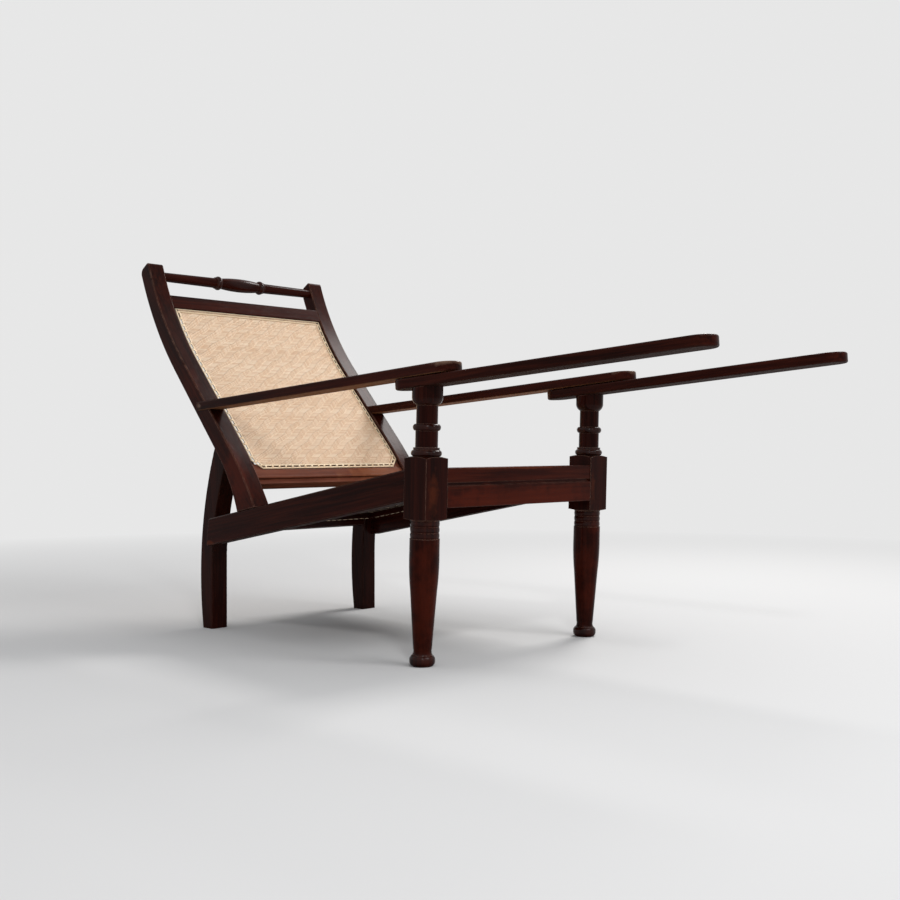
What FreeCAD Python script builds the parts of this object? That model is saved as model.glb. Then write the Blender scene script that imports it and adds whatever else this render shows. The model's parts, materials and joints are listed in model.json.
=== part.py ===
import FreeCAD, Part
import Sketcher
import math
import os

# A planters chair: a long low frame of turned front posts, bowed rear legs and a raked back,
# caned in the seat and the back, with flat arms and leg rests that swing out from under them.
# Lengths are in millimetres. The drawing origin of the side view is the foot of the front posts:
# Y runs to the back of the chair, Z up, and X to the sitter's left.

# The driving dimensions. Each goes into the sheet as a cell with its name as the alias.

SIZES = {
    # Whole frame
    "post_centre": 273,
    "post_rake_slope": 0.0286,
    "arm_slope": 0.0715,
    "seat_slope": 0.188,
    "seat_height": 409.1,
    "running_gap": 0.3,
    "socket_gap": 0.1,
    # Front post
    "foot_pad_radius": 20,
    "foot_sole": 3,
    "foot_bun_radius": 26.7,
    "foot_neck_radius": 21,
    "ankle_radius": 19.5,
    "calf_radius": 28.1,
    "knee_radius": 31.2,
    "calf_curve": 620,
    "collar_radius": 31.2,
    "collar_groove": 1.8,
    "block_width": 64,
    "block_above_seat": 20.9,
    "block_below_seat": 108.3,
    "block_arris": 0.8,
    "block_top_shoulder": 3,
    "block_foot_shoulder": 1.5,
    "base_ring_radius": 32,
    "base_ring_neck": 27,
    "fillet_ring_radius": 27.5,
    "shaft_radius": 23.4,
    "upper_shaft_radius": 22.4,
    "mid_ring_radius": 29,
    "mid_ring_neck": 25,
    "cup_radius": 32,
    "cup_bowl_curve": 18,
    # Arm and leg rest
    "arm_top_height": 615,
    "arm_thickness": 21.2,
    "arm_gap": 1.8,
    "arm_width": 64,
    "arm_rear_width": 52,
    "arm_rear_proud": 6,
    "arm_rear_lap": 32,
    "right_arm_reach": 87,
    "left_arm_reach": 128,
    "arm_edge_round": 4,
    "leg_rest_thickness": 21.4,
    "leg_rest_width": 62,
    "right_rest_tail": 80,
    "left_rest_tail": 122,
    "right_rest_reach": 664,
    "left_rest_reach": 653,
    "leg_rest_toe_angle": 1.95,
    "leg_rest_edge_round": 4,
    "pin_diameter": 12,
    "pin_head_diameter": 22,
    "pin_head_thickness": 3,
    "pin_depth": 40,
    "pin_clearance": 0.05,
    "arm_screw_diameter": 5,
    "arm_screw_head_diameter": 8,
    "arm_screw_head_thickness": 2,
    "arm_screw_length": 32,
    "arm_screw_end_distance": 13,
    # Back stile
    "stile_outer": 293,
    "stile_width": 46,
    "stile_waist_place": 652,
    "stile_waist_rise": 182,
    "stile_waist_depth": 48,
    "stile_lean_angle": 42,
    "stile_shoulder_depth": 43,
    "stile_lower_curve": 920,
    "stile_upper_curve": 760,
    "stile_rear_lower_curve": 400,
    "stile_rear_upper_curve": 853,
    "stile_head_height": 932,
    "stile_head_depth": 41.7,
    "stile_head_angle": 32,
    "stile_head_front_round": 7,
    "stile_head_rear_round": 18,
    "stile_arris": 2,
    "stile_tenon_length": 16,
    "stile_tenon_thickness": 14,
    "stile_tenon_inset": 10,
    "cane_recess": 7,
    "cane_thickness": 3,
    "cane_ledge_width": 14,
    "cane_ledge_thickness": 12,
    # Rear leg
    "leg_outer": 274,
    "leg_width": 46,
    "leg_front_place": 731.5,
    "leg_foot_depth": 38.5,
    "leg_bow_height": 130,
    "leg_bow_depth": 48.5,
    "leg_front_curve_height": 160,
    "leg_front_curve": 633,
    "leg_rear_curve": 885,
    "leg_head_below_waist": 24,
    "leg_head_above_waist": 40,
    "leg_head_gap": 1.3,
    "leg_head_overlap": 14,
    "leg_edge_round": 2.5,
    "leg_dowel_diameter": 10,
    "leg_dowel_length": 50,
    # Seat rails
    "side_rail_outer": 292,
    "side_rail_thickness": 34,
    "side_rail_depth": 65.6,
    "side_rail_chamfer": 2.5,
    "rail_tenon_thickness": 14,
    "rail_tenon_length": 22,
    "rail_tenon_shoulder": 12,
    "front_rail_drop": 2.1,
    "front_rail_depth": 83,
    "front_rail_groove_drop": 31,
    "front_rail_groove_height": 6.5,
    "front_rail_groove_depth": 6,
    "front_rail_thickness": 30,
    "front_rail_step": 2,
    "front_rail_edge_round": 2,
    "rear_rail_setback": 3.5,
    "rear_rail_thickness": 30,
    "rear_rail_bottom_drop": 36,
    "rear_rail_shoulder": 8,
    "seat_ledge_width": 16,
    "seat_ledge_thickness": 12,
    "seat_cane_drop": 6,
    "seat_binder_width": 9,
    "seat_binder_thickness": 1.2,
    "seat_binder_inset": 4,
    # Back rails and crest
    "crest_drop": 29.2,
    "crest_depth": 15.9,
    "crest_end_radius": 12,
    "crest_spindle_radius": 13.6,
    "crest_neck_radius": 15.5,
    "crest_fillet_width": 4,
    "crest_ring_radius": 18.8,
    "crest_ring_place": 70.5,
    "crest_ring_width": 12,
    "crest_barrel_end_radius": 13.8,
    "crest_barrel_radius": 18.4,
    "crest_tenon_radius": 9,
    "crest_tenon_length": 20,
    "upper_rail_drop": 86,
    "upper_rail_height": 33,
    "upper_rail_depth": 22,
    "upper_rail_recess": 0.5,
    "lower_rail_drop": 73.5,
    "lower_rail_height": 31,
    "lower_rail_depth": 31,
    "lower_rail_recess": 7,
    "lower_rail_bead_step": 1.5,
    "lower_rail_foot_setback": 6,
    "back_tenon_length": 18,
    "back_rail_edge_round": 2,
    "back_binder_width": 9,
    "back_binder_thickness": 1.2,
    "back_binder_inset": 4,
    "cane_margin": 4,
}

# Shares of the sizes above

HEAD_ROUND_SHARE = 0.221
STILE_STRAIGHT_SHARE = 0.436
RAIL_BEAD_LOW_SHARE = 0.32
RAIL_BEAD_HIGH_SHARE = 0.46
BACK_TENON_SHARE = 0.6
COLLAR_BULGE_SHARE = 1.4
BUN_BEND_SHARE = 0.95
ANKLE_BEND_SHARE = 1.2
SHOULDER_SHARE = 1.36

# Heights on the turned leg, as shares of its length from the floor to the block

BUN_HEIGHT_SHARE = 0.04
NECK_HEIGHT_SHARE = 0.078
ANKLE_HEIGHT_SHARE = 0.12
CALF_HEIGHT_SHARE = 0.522
KNEE_HEIGHT_SHARE = 0.781
COLLAR_HEIGHT_SHARE = 0.871
COLLAR_PITCH_SHARE = 0.041

# Heights on the upper turning, as shares of its length from the block to the cup's top

BASE_RING_SHARE = 0.097
FILLET_RING_SHARE = 0.035
MID_RING_START_SHARE = 0.375
MID_RING_SHARE = 0.097
CUP_START_SHARE = 0.743
CUP_BOWL_SHARE = 0.104

# Counts, angles and other numbers that aren't lengths

STRAIGHT_SHARE = 0.999
COLLAR_BEAD_COUNT = 3
RIGHT_ANGLE = 90
FULL_TURN_ANGLE = 360
CLOSE_SHARE = 0.00001
SIDES = {"right": -1, "left": 1}


def new_sheet(doc):
    """Write every driving dimension into the sheet, one to a row: its name, and its value under an alias."""
    sheet = doc.addObject("Spreadsheet::Sheet", "Sizes")
    for row, (alias, value) in enumerate(SIZES.items(), start=1):
        sheet.set(f"A{row}", alias)
        sheet.set(f"B{row}", str(value))
        sheet.setAlias(f"B{row}", alias)
    doc.recompute()
    return sheet


class Size:
    """A number together with the sheet formula that gives it, so that what it drives stays bound."""

    def __init__(self, value, formula):
        self.value = value
        self.formula = formula

    def __add__(self, other):
        other = as_size(other)
        return Size(self.value + other.value, f"({self.formula} + {other.formula})")

    def __sub__(self, other):
        other = as_size(other)
        return Size(self.value - other.value, f"({self.formula} - {other.formula})")

    def __mul__(self, other):
        other = as_size(other)
        return Size(self.value * other.value, f"({self.formula} * {other.formula})")

    def __truediv__(self, other):
        other = as_size(other)
        return Size(self.value / other.value, f"({self.formula} / {other.formula})")

    def __radd__(self, other):
        return as_size(other) + self

    def __rsub__(self, other):
        return as_size(other) - self

    def __rmul__(self, other):
        return as_size(other) * self

    def __rtruediv__(self, other):
        return as_size(other) / self

    def __neg__(self):
        return Size(-self.value, f"(-{self.formula})")


def as_size(number):
    if isinstance(number, Size):
        return number
    return Size(float(number), f"({number})" if number < 0 else f"{number}")


def root(size):
    return Size(math.sqrt(size.value), f"sqrt({size.formula})")


def cosine(angle):
    return Size(math.cos(math.radians(angle.value)), f"cos({angle.formula})")


def sine(angle):
    return Size(math.sin(math.radians(angle.value)), f"sin({angle.formula})")


def slope_angle(slope):
    """The angle in degrees of a slope given as rise over run."""
    return Size(math.degrees(math.atan(slope.value)), f"atan({slope.formula})")


class Dimensions:
    """The sheet's aliases as sizes: d.post_centre is the cell's value and its name."""

    def __init__(self, sheet):
        self.sheet = sheet

    def __getattr__(self, alias):
        return Size(float(getattr(self.sheet, alias)), f"Sizes.{alias}")


doc = FreeCAD.newDocument("planters_chair")
d = Dimensions(new_sheet(doc))
nodes = []


def bind(thing, path, size):
    thing.setExpression(path, as_size(size).formula)


def place(thing, x=0, y=0, z=0, tilt=None):
    """Put an object at a point of the chair, tilted about the X direction."""
    angle = as_size(0 if tilt is None else tilt)
    base = FreeCAD.Vector(as_size(x).value, as_size(y).value, as_size(z).value)
    thing.Placement = FreeCAD.Placement(base, FreeCAD.Rotation(FreeCAD.Vector(1, 0, 0), angle.value))
    bind(thing, "Placement.Base.x", x)
    bind(thing, "Placement.Base.y", y)
    bind(thing, "Placement.Base.z", z)
    if tilt is not None:
        bind(thing, "Placement.Rotation.Angle", angle)


def finished(thing, label):
    """Name an object after the piece that it is, and keep it for the list of pieces."""
    thing.Label = label
    nodes.append(thing)
    return thing


def new_body(name):
    return doc.addObject("PartDesign::Body", name)


def origin_plane(body, role):
    for feature in body.Origin.OriginFeatures:
        if feature.Role == role:
            return feature
    raise ValueError(role)


def arc_between(start, end, radius):
    """The shorter arc from start to end; a positive radius has its centre to the left."""
    chord = end - start
    half = chord.Length / 2
    height = math.sqrt(max(radius * radius - half * half, 0))
    left = FreeCAD.Vector(-chord.y, chord.x, 0).normalize()
    centre = (start + end) / 2 + left * (height if radius > 0 else -height)
    first, last = (start, end) if radius > 0 else (end, start)
    angles = [math.atan2(p.y - centre.y, p.x - centre.x) for p in (first, last)]
    circle = Part.Circle(centre, FreeCAD.Vector(0, 0, 1), abs(radius))
    return Part.ArcOfCircle(circle, angles[0], angles[1])


def outline(body, name, role, corners, offset=0):
    """A closed sketch. A corner is (u, v) or (u, v, radius), where the radius is that of the arc
    which runs from this corner to the next one. Every corner and radius is bound to the sheet."""
    sketch = body.newObject("Sketcher::SketchObject", name)
    sketch.AttachmentSupport = (origin_plane(body, role), [""])
    sketch.MapMode = "FlatFace"
    bind(sketch, "AttachmentOffset.Base.z", offset)
    sizes = [tuple(as_size(part) for part in corner) for corner in corners]
    points = [FreeCAD.Vector(corner[0].value, corner[1].value, 0) for corner in sizes]
    ends = []
    for index, corner in enumerate(sizes):
        start = points[index]
        end = points[(index + 1) % len(points)]
        if len(corner) == 3:
            edge = arc_between(start, end, corner[2].value)
            ends.append((1, 2) if corner[2].value > 0 else (2, 1))
        else:
            edge = Part.LineSegment(start, end)
            ends.append((1, 2))
        sketch.addGeometry(edge, False)
    for index, corner in enumerate(sizes):
        follow = (index + 1) % len(sizes)
        meeting = Sketcher.Constraint("Coincident", index, ends[index][1], follow, ends[follow][0])
        sketch.addConstraint(meeting)
        for axis, size in (("DistanceX", corner[0]), ("DistanceY", corner[1])):
            fixed = Sketcher.Constraint(axis, -1, 1, index, ends[index][0], size.value)
            bind(sketch, f"Constraints[{sketch.addConstraint(fixed)}]", size)
        if len(corner) == 3:
            bend = corner[2] if corner[2].value > 0 else -corner[2]
            number = sketch.addConstraint(Sketcher.Constraint("Radius", index, bend.value))
            bind(sketch, f"Constraints[{number}]", bend)
    return sketch


def slab(body, name, corners, x_one, x_two, kind="PartDesign::Pad", role="YZ_Plane"):
    """A side-view outline made solid between two distances along the plane's normal."""
    low, high = (x_one, x_two) if as_size(x_one).value < as_size(x_two).value else (x_two, x_one)
    sketch = outline(body, name + "_outline", role, corners, low)
    feature = body.newObject(kind, name)
    feature.Profile = sketch
    if kind == "PartDesign::Pocket":
        feature.Reversed = True
    bind(feature, "Length", as_size(high) - low)
    sketch.Visibility = False
    return feature


def turning(body, name, corners, axis, kind="PartDesign::Revolution", role="XZ_Plane"):
    """A half outline turned right round one of its own axes."""
    sketch = outline(body, name + "_outline", role, corners)
    feature = body.newObject(kind, name)
    feature.Profile = sketch
    feature.ReferenceAxis = (sketch, [axis])
    feature.Angle = FULL_TURN_ANGLE
    return feature


def dressed(body, name, kind, size, wanted):
    """Round or chamfer the edges of the body's last feature that the test picks out."""
    doc.recompute()
    tip = body.Tip
    picked = [f"Edge{n + 1}" for n, edge in enumerate(tip.Shape.Edges) if wanted(edge)]
    feature = body.newObject(kind, name)
    feature.Base = (tip, picked)
    bind(feature, "Radius" if kind.endswith("Fillet") else "Size", size)
    return feature


def cylinder(name, radius, height, x, y, z, tilt=None):
    rod = doc.addObject("Part::Cylinder", name)
    bind(rod, "Radius", radius)
    bind(rod, "Height", height)
    place(rod, x, y, z, tilt)
    return rod


def cut(name, base, *tools):
    """The base with every tool taken out of it."""
    tool = tools[0]
    if len(tools) > 1:
        tool = doc.addObject("Part::MultiFuse", name + "_hollows")
        tool.Shapes = list(tools)
    result = doc.addObject("Part::Cut", name)
    result.Base = base
    result.Tool = tool
    return result


def joined(name, *pieces):
    result = doc.addObject("Part::MultiFuse", name)
    result.Shapes = list(pieces)
    return result


# Where the main lines of the side view run

arm_angle = slope_angle(d.arm_slope)
seat_angle = slope_angle(d.seat_slope)
rake_angle = slope_angle(d.post_rake_slope)
lean = (sine(d.stile_lean_angle), cosine(d.stile_lean_angle))
behind = (cosine(d.stile_lean_angle), -sine(d.stile_lean_angle))
stile_inner = d.stile_outer - d.stile_width
block_half = d.block_width / 2
leg_inner = d.leg_outer - d.leg_width
rail_inner = d.side_rail_outer - d.side_rail_thickness


def seat_line(y, below=0):
    """The height of the side rails' top edge, or of a line parallel to it and below it."""
    return d.seat_height - d.seat_slope * y - as_size(below) / cosine(seat_angle)


def block_face(z, offset):
    """How far back a plane at an offset from the raked post's axis lies at a height."""
    return as_size(offset) / cosine(rake_angle) - d.post_rake_slope * z


def face_on_line(offset, below):
    """The point where a plane beside the post's axis meets a line parallel to the seat."""
    reach = as_size(offset) / cosine(rake_angle)
    start = d.seat_height - as_size(below) / cosine(seat_angle)
    z = (start - d.seat_slope * reach) / (1 - d.seat_slope * d.post_rake_slope)
    return reach - d.post_rake_slope * z, z


def moved(point, direction, distance):
    return point[0] + direction[0] * distance, point[1] + direction[1] * distance


def on_circle(centre, radius):
    """The front point where a circle behind the back meets the seat's line."""
    rise = d.seat_height - centre[1]
    run = centre[0] + d.seat_slope * rise
    square = 1 + d.seat_slope * d.seat_slope
    rest = centre[0] * centre[0] + rise * rise - radius * radius
    y = (run - root(run * run - square * rest)) / square
    return y, seat_line(y)


block_top = d.seat_height + d.block_above_seat
block_bottom = d.seat_height - d.block_below_seat
front_rail_top = d.seat_height - d.front_rail_drop
front_rail_bottom = front_rail_top - d.front_rail_depth
groove_high = front_rail_top - d.front_rail_groove_drop
groove_low = groove_high - d.front_rail_groove_height
rear_rail_place = d.leg_front_place - d.rear_rail_setback
arm_stack = d.arm_thickness + d.arm_gap + d.leg_rest_thickness + d.running_gap
cup_height = (d.arm_top_height - arm_stack / cosine(arm_angle)) / (1 - d.arm_slope * d.post_rake_slope)
cup_place = -d.post_rake_slope * cup_height
waist = (d.stile_waist_place, seat_line(d.stile_waist_place) + d.stile_waist_rise)
shoulder = moved(waist, lean, (d.stile_head_height - waist[1]) * STILE_STRAIGHT_SHARE / lean[1])
lower_centre = moved(waist, behind, d.stile_lower_curve)
upper_centre = moved(shoulder, behind, -d.stile_upper_curve)
foot_front = on_circle(lower_centre, d.stile_lower_curve)
rear_waist = moved(waist, behind, d.stile_waist_depth)
foot_rear = on_circle(moved(rear_waist, behind, d.stile_rear_lower_curve), d.stile_rear_lower_curve)
lower_rail_high = waist[1] - d.lower_rail_drop
lower_rail_low = lower_rail_high - d.lower_rail_height
upper_rail_high = d.stile_head_height - d.upper_rail_drop
upper_rail_low = upper_rail_high - d.upper_rail_height


def low_back(z, depth):
    """A point on the back's lower curve at a height, a depth behind the stiles' front edges."""
    reach = d.stile_lower_curve - depth
    rise = z - lower_centre[1]
    return lower_centre[0] - root(reach * reach - rise * rise), z


def high_back(z, depth):
    """The same on the back's upper curve."""
    reach = d.stile_upper_curve + depth
    rise = z - upper_centre[1]
    return upper_centre[0] + root(reach * reach - rise * rise), z


def deeper(point, centre, radius, extra):
    """A point moved square to its curve, towards the back."""
    share = as_size(extra) / radius
    return point[0] + (centre[0] - point[0]) * share, point[1] + (centre[1] - point[1]) * share


def deeper_low(point, depth, extra):
    return deeper(point, lower_centre, d.stile_lower_curve - depth, extra)


def deeper_high(point, depth, extra):
    return deeper(point, upper_centre, -(d.stile_upper_curve + depth), extra)


def low_spot(z, depth):
    """A point at a depth behind the back's lower curve, square to it from a height on the rail's face."""
    face = d.lower_rail_recess
    return deeper_low(low_back(z, face), face, depth - face)


def high_spot(z, depth):
    """The same behind the upper curve, from the upper rail's face."""
    face = d.upper_rail_recess
    return deeper_high(high_back(z, face), face, depth - face)


def back_band(low, high, front, rear):
    """A band that follows the back between two heights and two depths behind the front edges."""
    return [
        low_spot(low, front) + (-(d.stile_lower_curve - front),),
        moved(waist, behind, front),
        moved(shoulder, behind, front) + (d.stile_upper_curve + front,),
        high_spot(high, front),
        high_spot(high, rear) + (-(d.stile_upper_curve + rear),),
        moved(shoulder, behind, rear),
        moved(waist, behind, rear) + (d.stile_lower_curve - rear,),
        low_spot(low, rear),
    ]


def low_strip(low, high, front, rear):
    """A strip of the same kind that stays on the lower curve."""
    return [
        low_spot(low, front) + (-(d.stile_lower_curve - front),),
        low_spot(high, front),
        low_spot(high, rear) + (d.stile_lower_curve - rear,),
        low_spot(low, rear),
    ]


def high_strip(low, high, front, rear):
    """A strip that stays on the upper curve."""
    return [
        high_spot(low, front) + (d.stile_upper_curve + front,),
        high_spot(high, front),
        high_spot(high, rear) + (-(d.stile_upper_curve + rear),),
        high_spot(low, rear),
    ]


head_front = high_back(d.stile_head_height, as_size(0))
head_rear = moved(head_front, (cosine(d.stile_head_angle), -sine(d.stile_head_angle)), d.stile_head_depth)
rest_half = d.leg_rest_width / 2
front_reach = (d.right_rest_reach - rest_half) * cosine(d.leg_rest_toe_angle) + rest_half
foremost = cup_place - front_reach * cosine(arm_angle) + d.leg_rest_edge_round * sine(arm_angle)
rearmost = head_rear[0] - d.stile_head_rear_round * HEAD_ROUND_SHARE
middle = (foremost + rearmost) / 2
crest_face = high_back(d.stile_head_height - d.crest_drop, as_size(0))
crest_centre = deeper_high(crest_face, as_size(0), d.crest_depth)


def arm_rear_reach():
    """From the pin to the arm's rear end, which laps past the front edge of the sloping stile."""
    run = lean[0] / lean[1]
    arm_middle = d.arm_top_height - d.arm_thickness / 2 / cosine(arm_angle)
    y = (waist[0] + (arm_middle - waist[1]) * run) / (1 + d.arm_slope * run)
    return (y - cup_place) / cosine(arm_angle) + d.arm_rear_lap


def stand(body):
    """Put a piece that is drawn in the side view where the chair's middle is over the origin."""
    place(body, 0, -middle, 0)
    return body


def in_arm_frame(body, side):
    """Put a piece on the cup of a front post, square to the slope of the arms."""
    place(body, side * d.post_centre, cup_place - middle, cup_height, -arm_angle)
    return body


def stile_outline():
    return [
        foot_front + (-d.stile_lower_curve,),
        waist,
        shoulder + (d.stile_upper_curve,),
        head_front,
        head_rear + (-d.stile_rear_upper_curve,),
        moved(shoulder, behind, d.stile_shoulder_depth),
        rear_waist + (d.stile_rear_lower_curve,),
        foot_rear,
    ]


def stile_tenon_outline(extra=0):
    """The stub tenon under the stile, square to the rail that it stands on."""
    down = (-sine(seat_angle), -cosine(seat_angle))
    along = (cosine(seat_angle), -sine(seat_angle))
    first = moved(foot_front, along, d.stile_tenon_inset)
    last = moved(foot_rear, along, -d.stile_tenon_inset)
    length = d.stile_tenon_length + extra
    return [first, moved(first, down, length), moved(last, down, length), last]


def leg_head():
    """The lower and upper ends of the leg's head, just behind the stile."""
    start = moved(rear_waist, behind, d.leg_head_gap)
    return moved(start, lean, -d.leg_head_below_waist), moved(start, lean, d.leg_head_above_waist)


def leg_outline():
    front_foot = (d.leg_front_place, as_size(0))
    rear_foot = (d.leg_front_place + d.leg_foot_depth, as_size(0))
    bow = (d.leg_front_place + d.leg_bow_depth, d.leg_bow_height)
    overlap = moved((as_size(0), as_size(0)), behind, -d.leg_head_overlap)
    head_low, head_high = leg_head()
    return [
        front_foot,
        rear_foot + (d.leg_rear_curve,),
        bow + (d.leg_rear_curve,),
        head_high,
        (head_high[0] + overlap[0], head_high[1] + overlap[1]),
        (head_low[0] + overlap[0], head_low[1] + overlap[1]),
        head_low + (-d.leg_front_curve,),
        (d.leg_front_place, d.leg_front_curve_height),
    ]


def side_rail_outline(top=0, bottom=None, overlap=0):
    """The rail from the post's block back to the leg, or a band of it, run on into the leg."""
    bottom = d.side_rail_depth * cosine(seat_angle) if bottom is None else bottom
    end = d.leg_front_place + overlap
    return [
        face_on_line(block_half, top),
        face_on_line(block_half, bottom),
        (end, seat_line(end, bottom)),
        (end, seat_line(end, top)),
    ]


def front_tenon_outline(extra=0):
    top = d.rail_tenon_shoulder
    bottom = d.side_rail_depth * cosine(seat_angle) - d.rail_tenon_shoulder
    inner = block_half - d.rail_tenon_length - extra
    return [
        face_on_line(block_half, top),
        face_on_line(inner, top),
        face_on_line(inner, bottom),
        face_on_line(block_half, bottom),
    ]


def rear_tenon_outline(extra=0):
    """The rail's tenon in the rear leg, from inside the rail so that the two are one piece."""
    top = d.rail_tenon_shoulder
    bottom = d.side_rail_depth * cosine(seat_angle) - d.rail_tenon_shoulder
    start = d.leg_front_place - d.rail_tenon_length
    end = d.leg_front_place + d.rail_tenon_length / 2 + extra
    return [
        (start, seat_line(start, top)),
        (start, seat_line(start, bottom)),
        (end, seat_line(end, bottom)),
        (end, seat_line(end, top)),
    ]


# Tests that pick out the edges to round or chamfer


def same(one, two):
    """Whether two coordinates are the same but for rounding."""
    return math.isclose(one, two, rel_tol=CLOSE_SHARE)


def runs_along_x(edge):
    first, last = edge.Vertexes[0].Point, edge.Vertexes[-1].Point
    return abs(last.x - first.x) > edge.Length * STRAIGHT_SHARE


# Front posts


def bead_curve(height, proud):
    """The radius of a bead's section, from its height and how far it stands out."""
    return (height * height / 4 + proud * proud) / (proud * 2)


def post_profile():
    """The turned shape from the floor to above the cup, as radius and height."""
    bun = block_bottom * BUN_HEIGHT_SHARE
    neck = block_bottom * NECK_HEIGHT_SHARE
    ankle = block_bottom * ANKLE_HEIGHT_SHARE
    collar = block_bottom * COLLAR_HEIGHT_SHARE
    pitch = block_bottom * COLLAR_PITCH_SHARE
    groove = d.collar_radius - d.collar_groove
    bulge = pitch * COLLAR_BULGE_SHARE
    beads = [(groove, collar + pitch * n, bulge) for n in range(COLLAR_BEAD_COUNT)]
    collar_top = collar + pitch * COLLAR_BEAD_COUNT
    length = cup_height - block_top
    base_ring = length * BASE_RING_SHARE
    base_bend = bead_curve(base_ring, d.base_ring_radius - d.base_ring_neck)
    fillet_ring = block_top + base_ring
    shaft = fillet_ring + length * FILLET_RING_SHARE
    mid_ring = length * MID_RING_SHARE
    mid_bend = bead_curve(mid_ring, d.mid_ring_radius - d.mid_ring_neck)
    mid_low = block_top + length * MID_RING_START_SHARE
    cup_low = block_top + length * CUP_START_SHARE
    cup_wall = cup_low + length * CUP_BOWL_SHARE
    return [
        (as_size(0), -d.foot_sole),
        (d.foot_pad_radius, -d.foot_sole),
        (d.foot_pad_radius, as_size(0), bun * BUN_BEND_SHARE),
        (d.foot_bun_radius, bun, bun * BUN_BEND_SHARE),
        (d.foot_neck_radius, neck, -(ankle - neck) * ANKLE_BEND_SHARE),
        (d.ankle_radius, ankle),
        (d.calf_radius, block_bottom * CALF_HEIGHT_SHARE, d.calf_curve),
        (d.knee_radius, block_bottom * KNEE_HEIGHT_SHARE),
        (d.collar_radius, collar),
        *beads,
        (groove, collar_top),
        (d.collar_radius, collar_top),
        (d.collar_radius, block_bottom),
        (d.base_ring_neck, block_bottom),
        (d.base_ring_neck, block_top, base_bend),
        (d.base_ring_neck, fillet_ring),
        (d.fillet_ring_radius, fillet_ring),
        (d.fillet_ring_radius, shaft),
        (d.shaft_radius, shaft),
        (d.shaft_radius, mid_low),
        (d.mid_ring_neck, mid_low, mid_bend),
        (d.mid_ring_neck, mid_low + mid_ring),
        (d.upper_shaft_radius, mid_low + mid_ring),
        (d.upper_shaft_radius, cup_low, d.cup_bowl_curve),
        (d.cup_radius, cup_wall),
        (d.cup_radius, cup_height + d.cup_radius),
        (as_size(0), cup_height + d.cup_radius),
    ]


def square(half):
    return [(-half, -half), (half, -half), (half, half), (-half, half)]


def build_post(name, side):
    body = new_body(name + "_turning")
    turning(body, name + "_turned", post_profile(), "V_Axis")
    slab(body, name + "_block", square(block_half), block_bottom, block_top, role="XY_Plane")
    dressed(body, name + "_arrises", "PartDesign::Chamfer", d.block_arris, is_block_arris)
    shoulders = (("top", block_top, -d.block_top_shoulder), ("foot", block_bottom, d.block_foot_shoulder))
    for end, height, drop in shoulders:
        corner = [
            (d.cup_radius, height),
            (d.block_width, height),
            (d.block_width, height + drop),
            (block_half * SHOULDER_SHARE, height + drop),
        ]
        turning(body, f"{name}_{end}_shoulder", corner, "V_Axis", kind="PartDesign::Groove")
    place(body, side * d.post_centre, -middle, 0, rake_angle)
    return body


def is_block_arris(edge):
    """The four upright corners of the square block."""
    first, last = edge.Vertexes[0].Point, edge.Vertexes[-1].Point
    upright = abs(last.z - first.z) > edge.Length * STRAIGHT_SHARE
    half = block_half.value
    return upright and same(abs(first.x), half) and same(abs(first.y), half)


def tool(name, corners, x_one, x_two):
    """A side-view slab that only hollows out other pieces."""
    body = new_body(name)
    slab(body, name + "_pad", corners, x_one, x_two)
    return stand(body)


rail_middle = (d.side_rail_outer + rail_inner) / 2
tenon_low = rail_middle - d.rail_tenon_thickness / 2
tenon_high = rail_middle + d.rail_tenon_thickness / 2
stile_tenon_low = rail_middle - d.stile_tenon_thickness / 2
stile_tenon_high = rail_middle + d.stile_tenon_thickness / 2
post_inner = d.post_centre - block_half


def trim_outline():
    """Everything above the sloping top of the cup."""
    reach = d.cup_radius * 2
    near = (cup_place - reach, cup_height + d.arm_slope * reach)
    far = (cup_place + reach, cup_height - d.arm_slope * reach)
    top = cup_height + reach
    return [near, far, (far[0], top), (near[0], top)]


def floor_outline():
    """Everything under the floor, which the raked feet are sawn off flush with."""
    reach = d.block_width
    return [(-reach, -reach), (reach, -reach), (reach, as_size(0)), (-reach, as_size(0))]


def front_rail_face(z, depth=0):
    return block_face(z, as_size(depth) - block_half)


def front_rail_outline():
    step = d.front_rail_step
    deep = d.front_rail_groove_depth
    thick = d.front_rail_thickness
    rear_top = front_rail_face(front_rail_top, thick)
    ledge_top = d.seat_cane_drop + d.cane_thickness
    ledge_low = ledge_top + d.seat_ledge_thickness
    ledge_end = rear_top + d.seat_ledge_width
    return [
        (front_rail_face(front_rail_bottom), front_rail_bottom),
        (front_rail_face(front_rail_bottom, thick), front_rail_bottom),
        (rear_top, seat_line(rear_top, ledge_low)),
        (ledge_end, seat_line(ledge_end, ledge_low)),
        (ledge_end, seat_line(ledge_end, ledge_top)),
        (rear_top, seat_line(rear_top, ledge_top)),
        (rear_top, front_rail_top),
        (front_rail_face(front_rail_top, step), front_rail_top),
        (front_rail_face(groove_high, step), groove_high),
        (front_rail_face(groove_high, deep), groove_high),
        (front_rail_face(groove_low, deep), groove_low),
        (front_rail_face(groove_low), groove_low),
    ]


def front_rail_tenon_outline():
    low = front_rail_bottom + d.rail_tenon_shoulder
    high = front_rail_top - d.rail_tenon_shoulder
    first = (d.front_rail_thickness - d.rail_tenon_thickness) / 2
    last = first + d.rail_tenon_thickness
    return [
        (front_rail_face(low, first), low),
        (front_rail_face(low, last), low),
        (front_rail_face(high, last), high),
        (front_rail_face(high, first), high),
    ]


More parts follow.
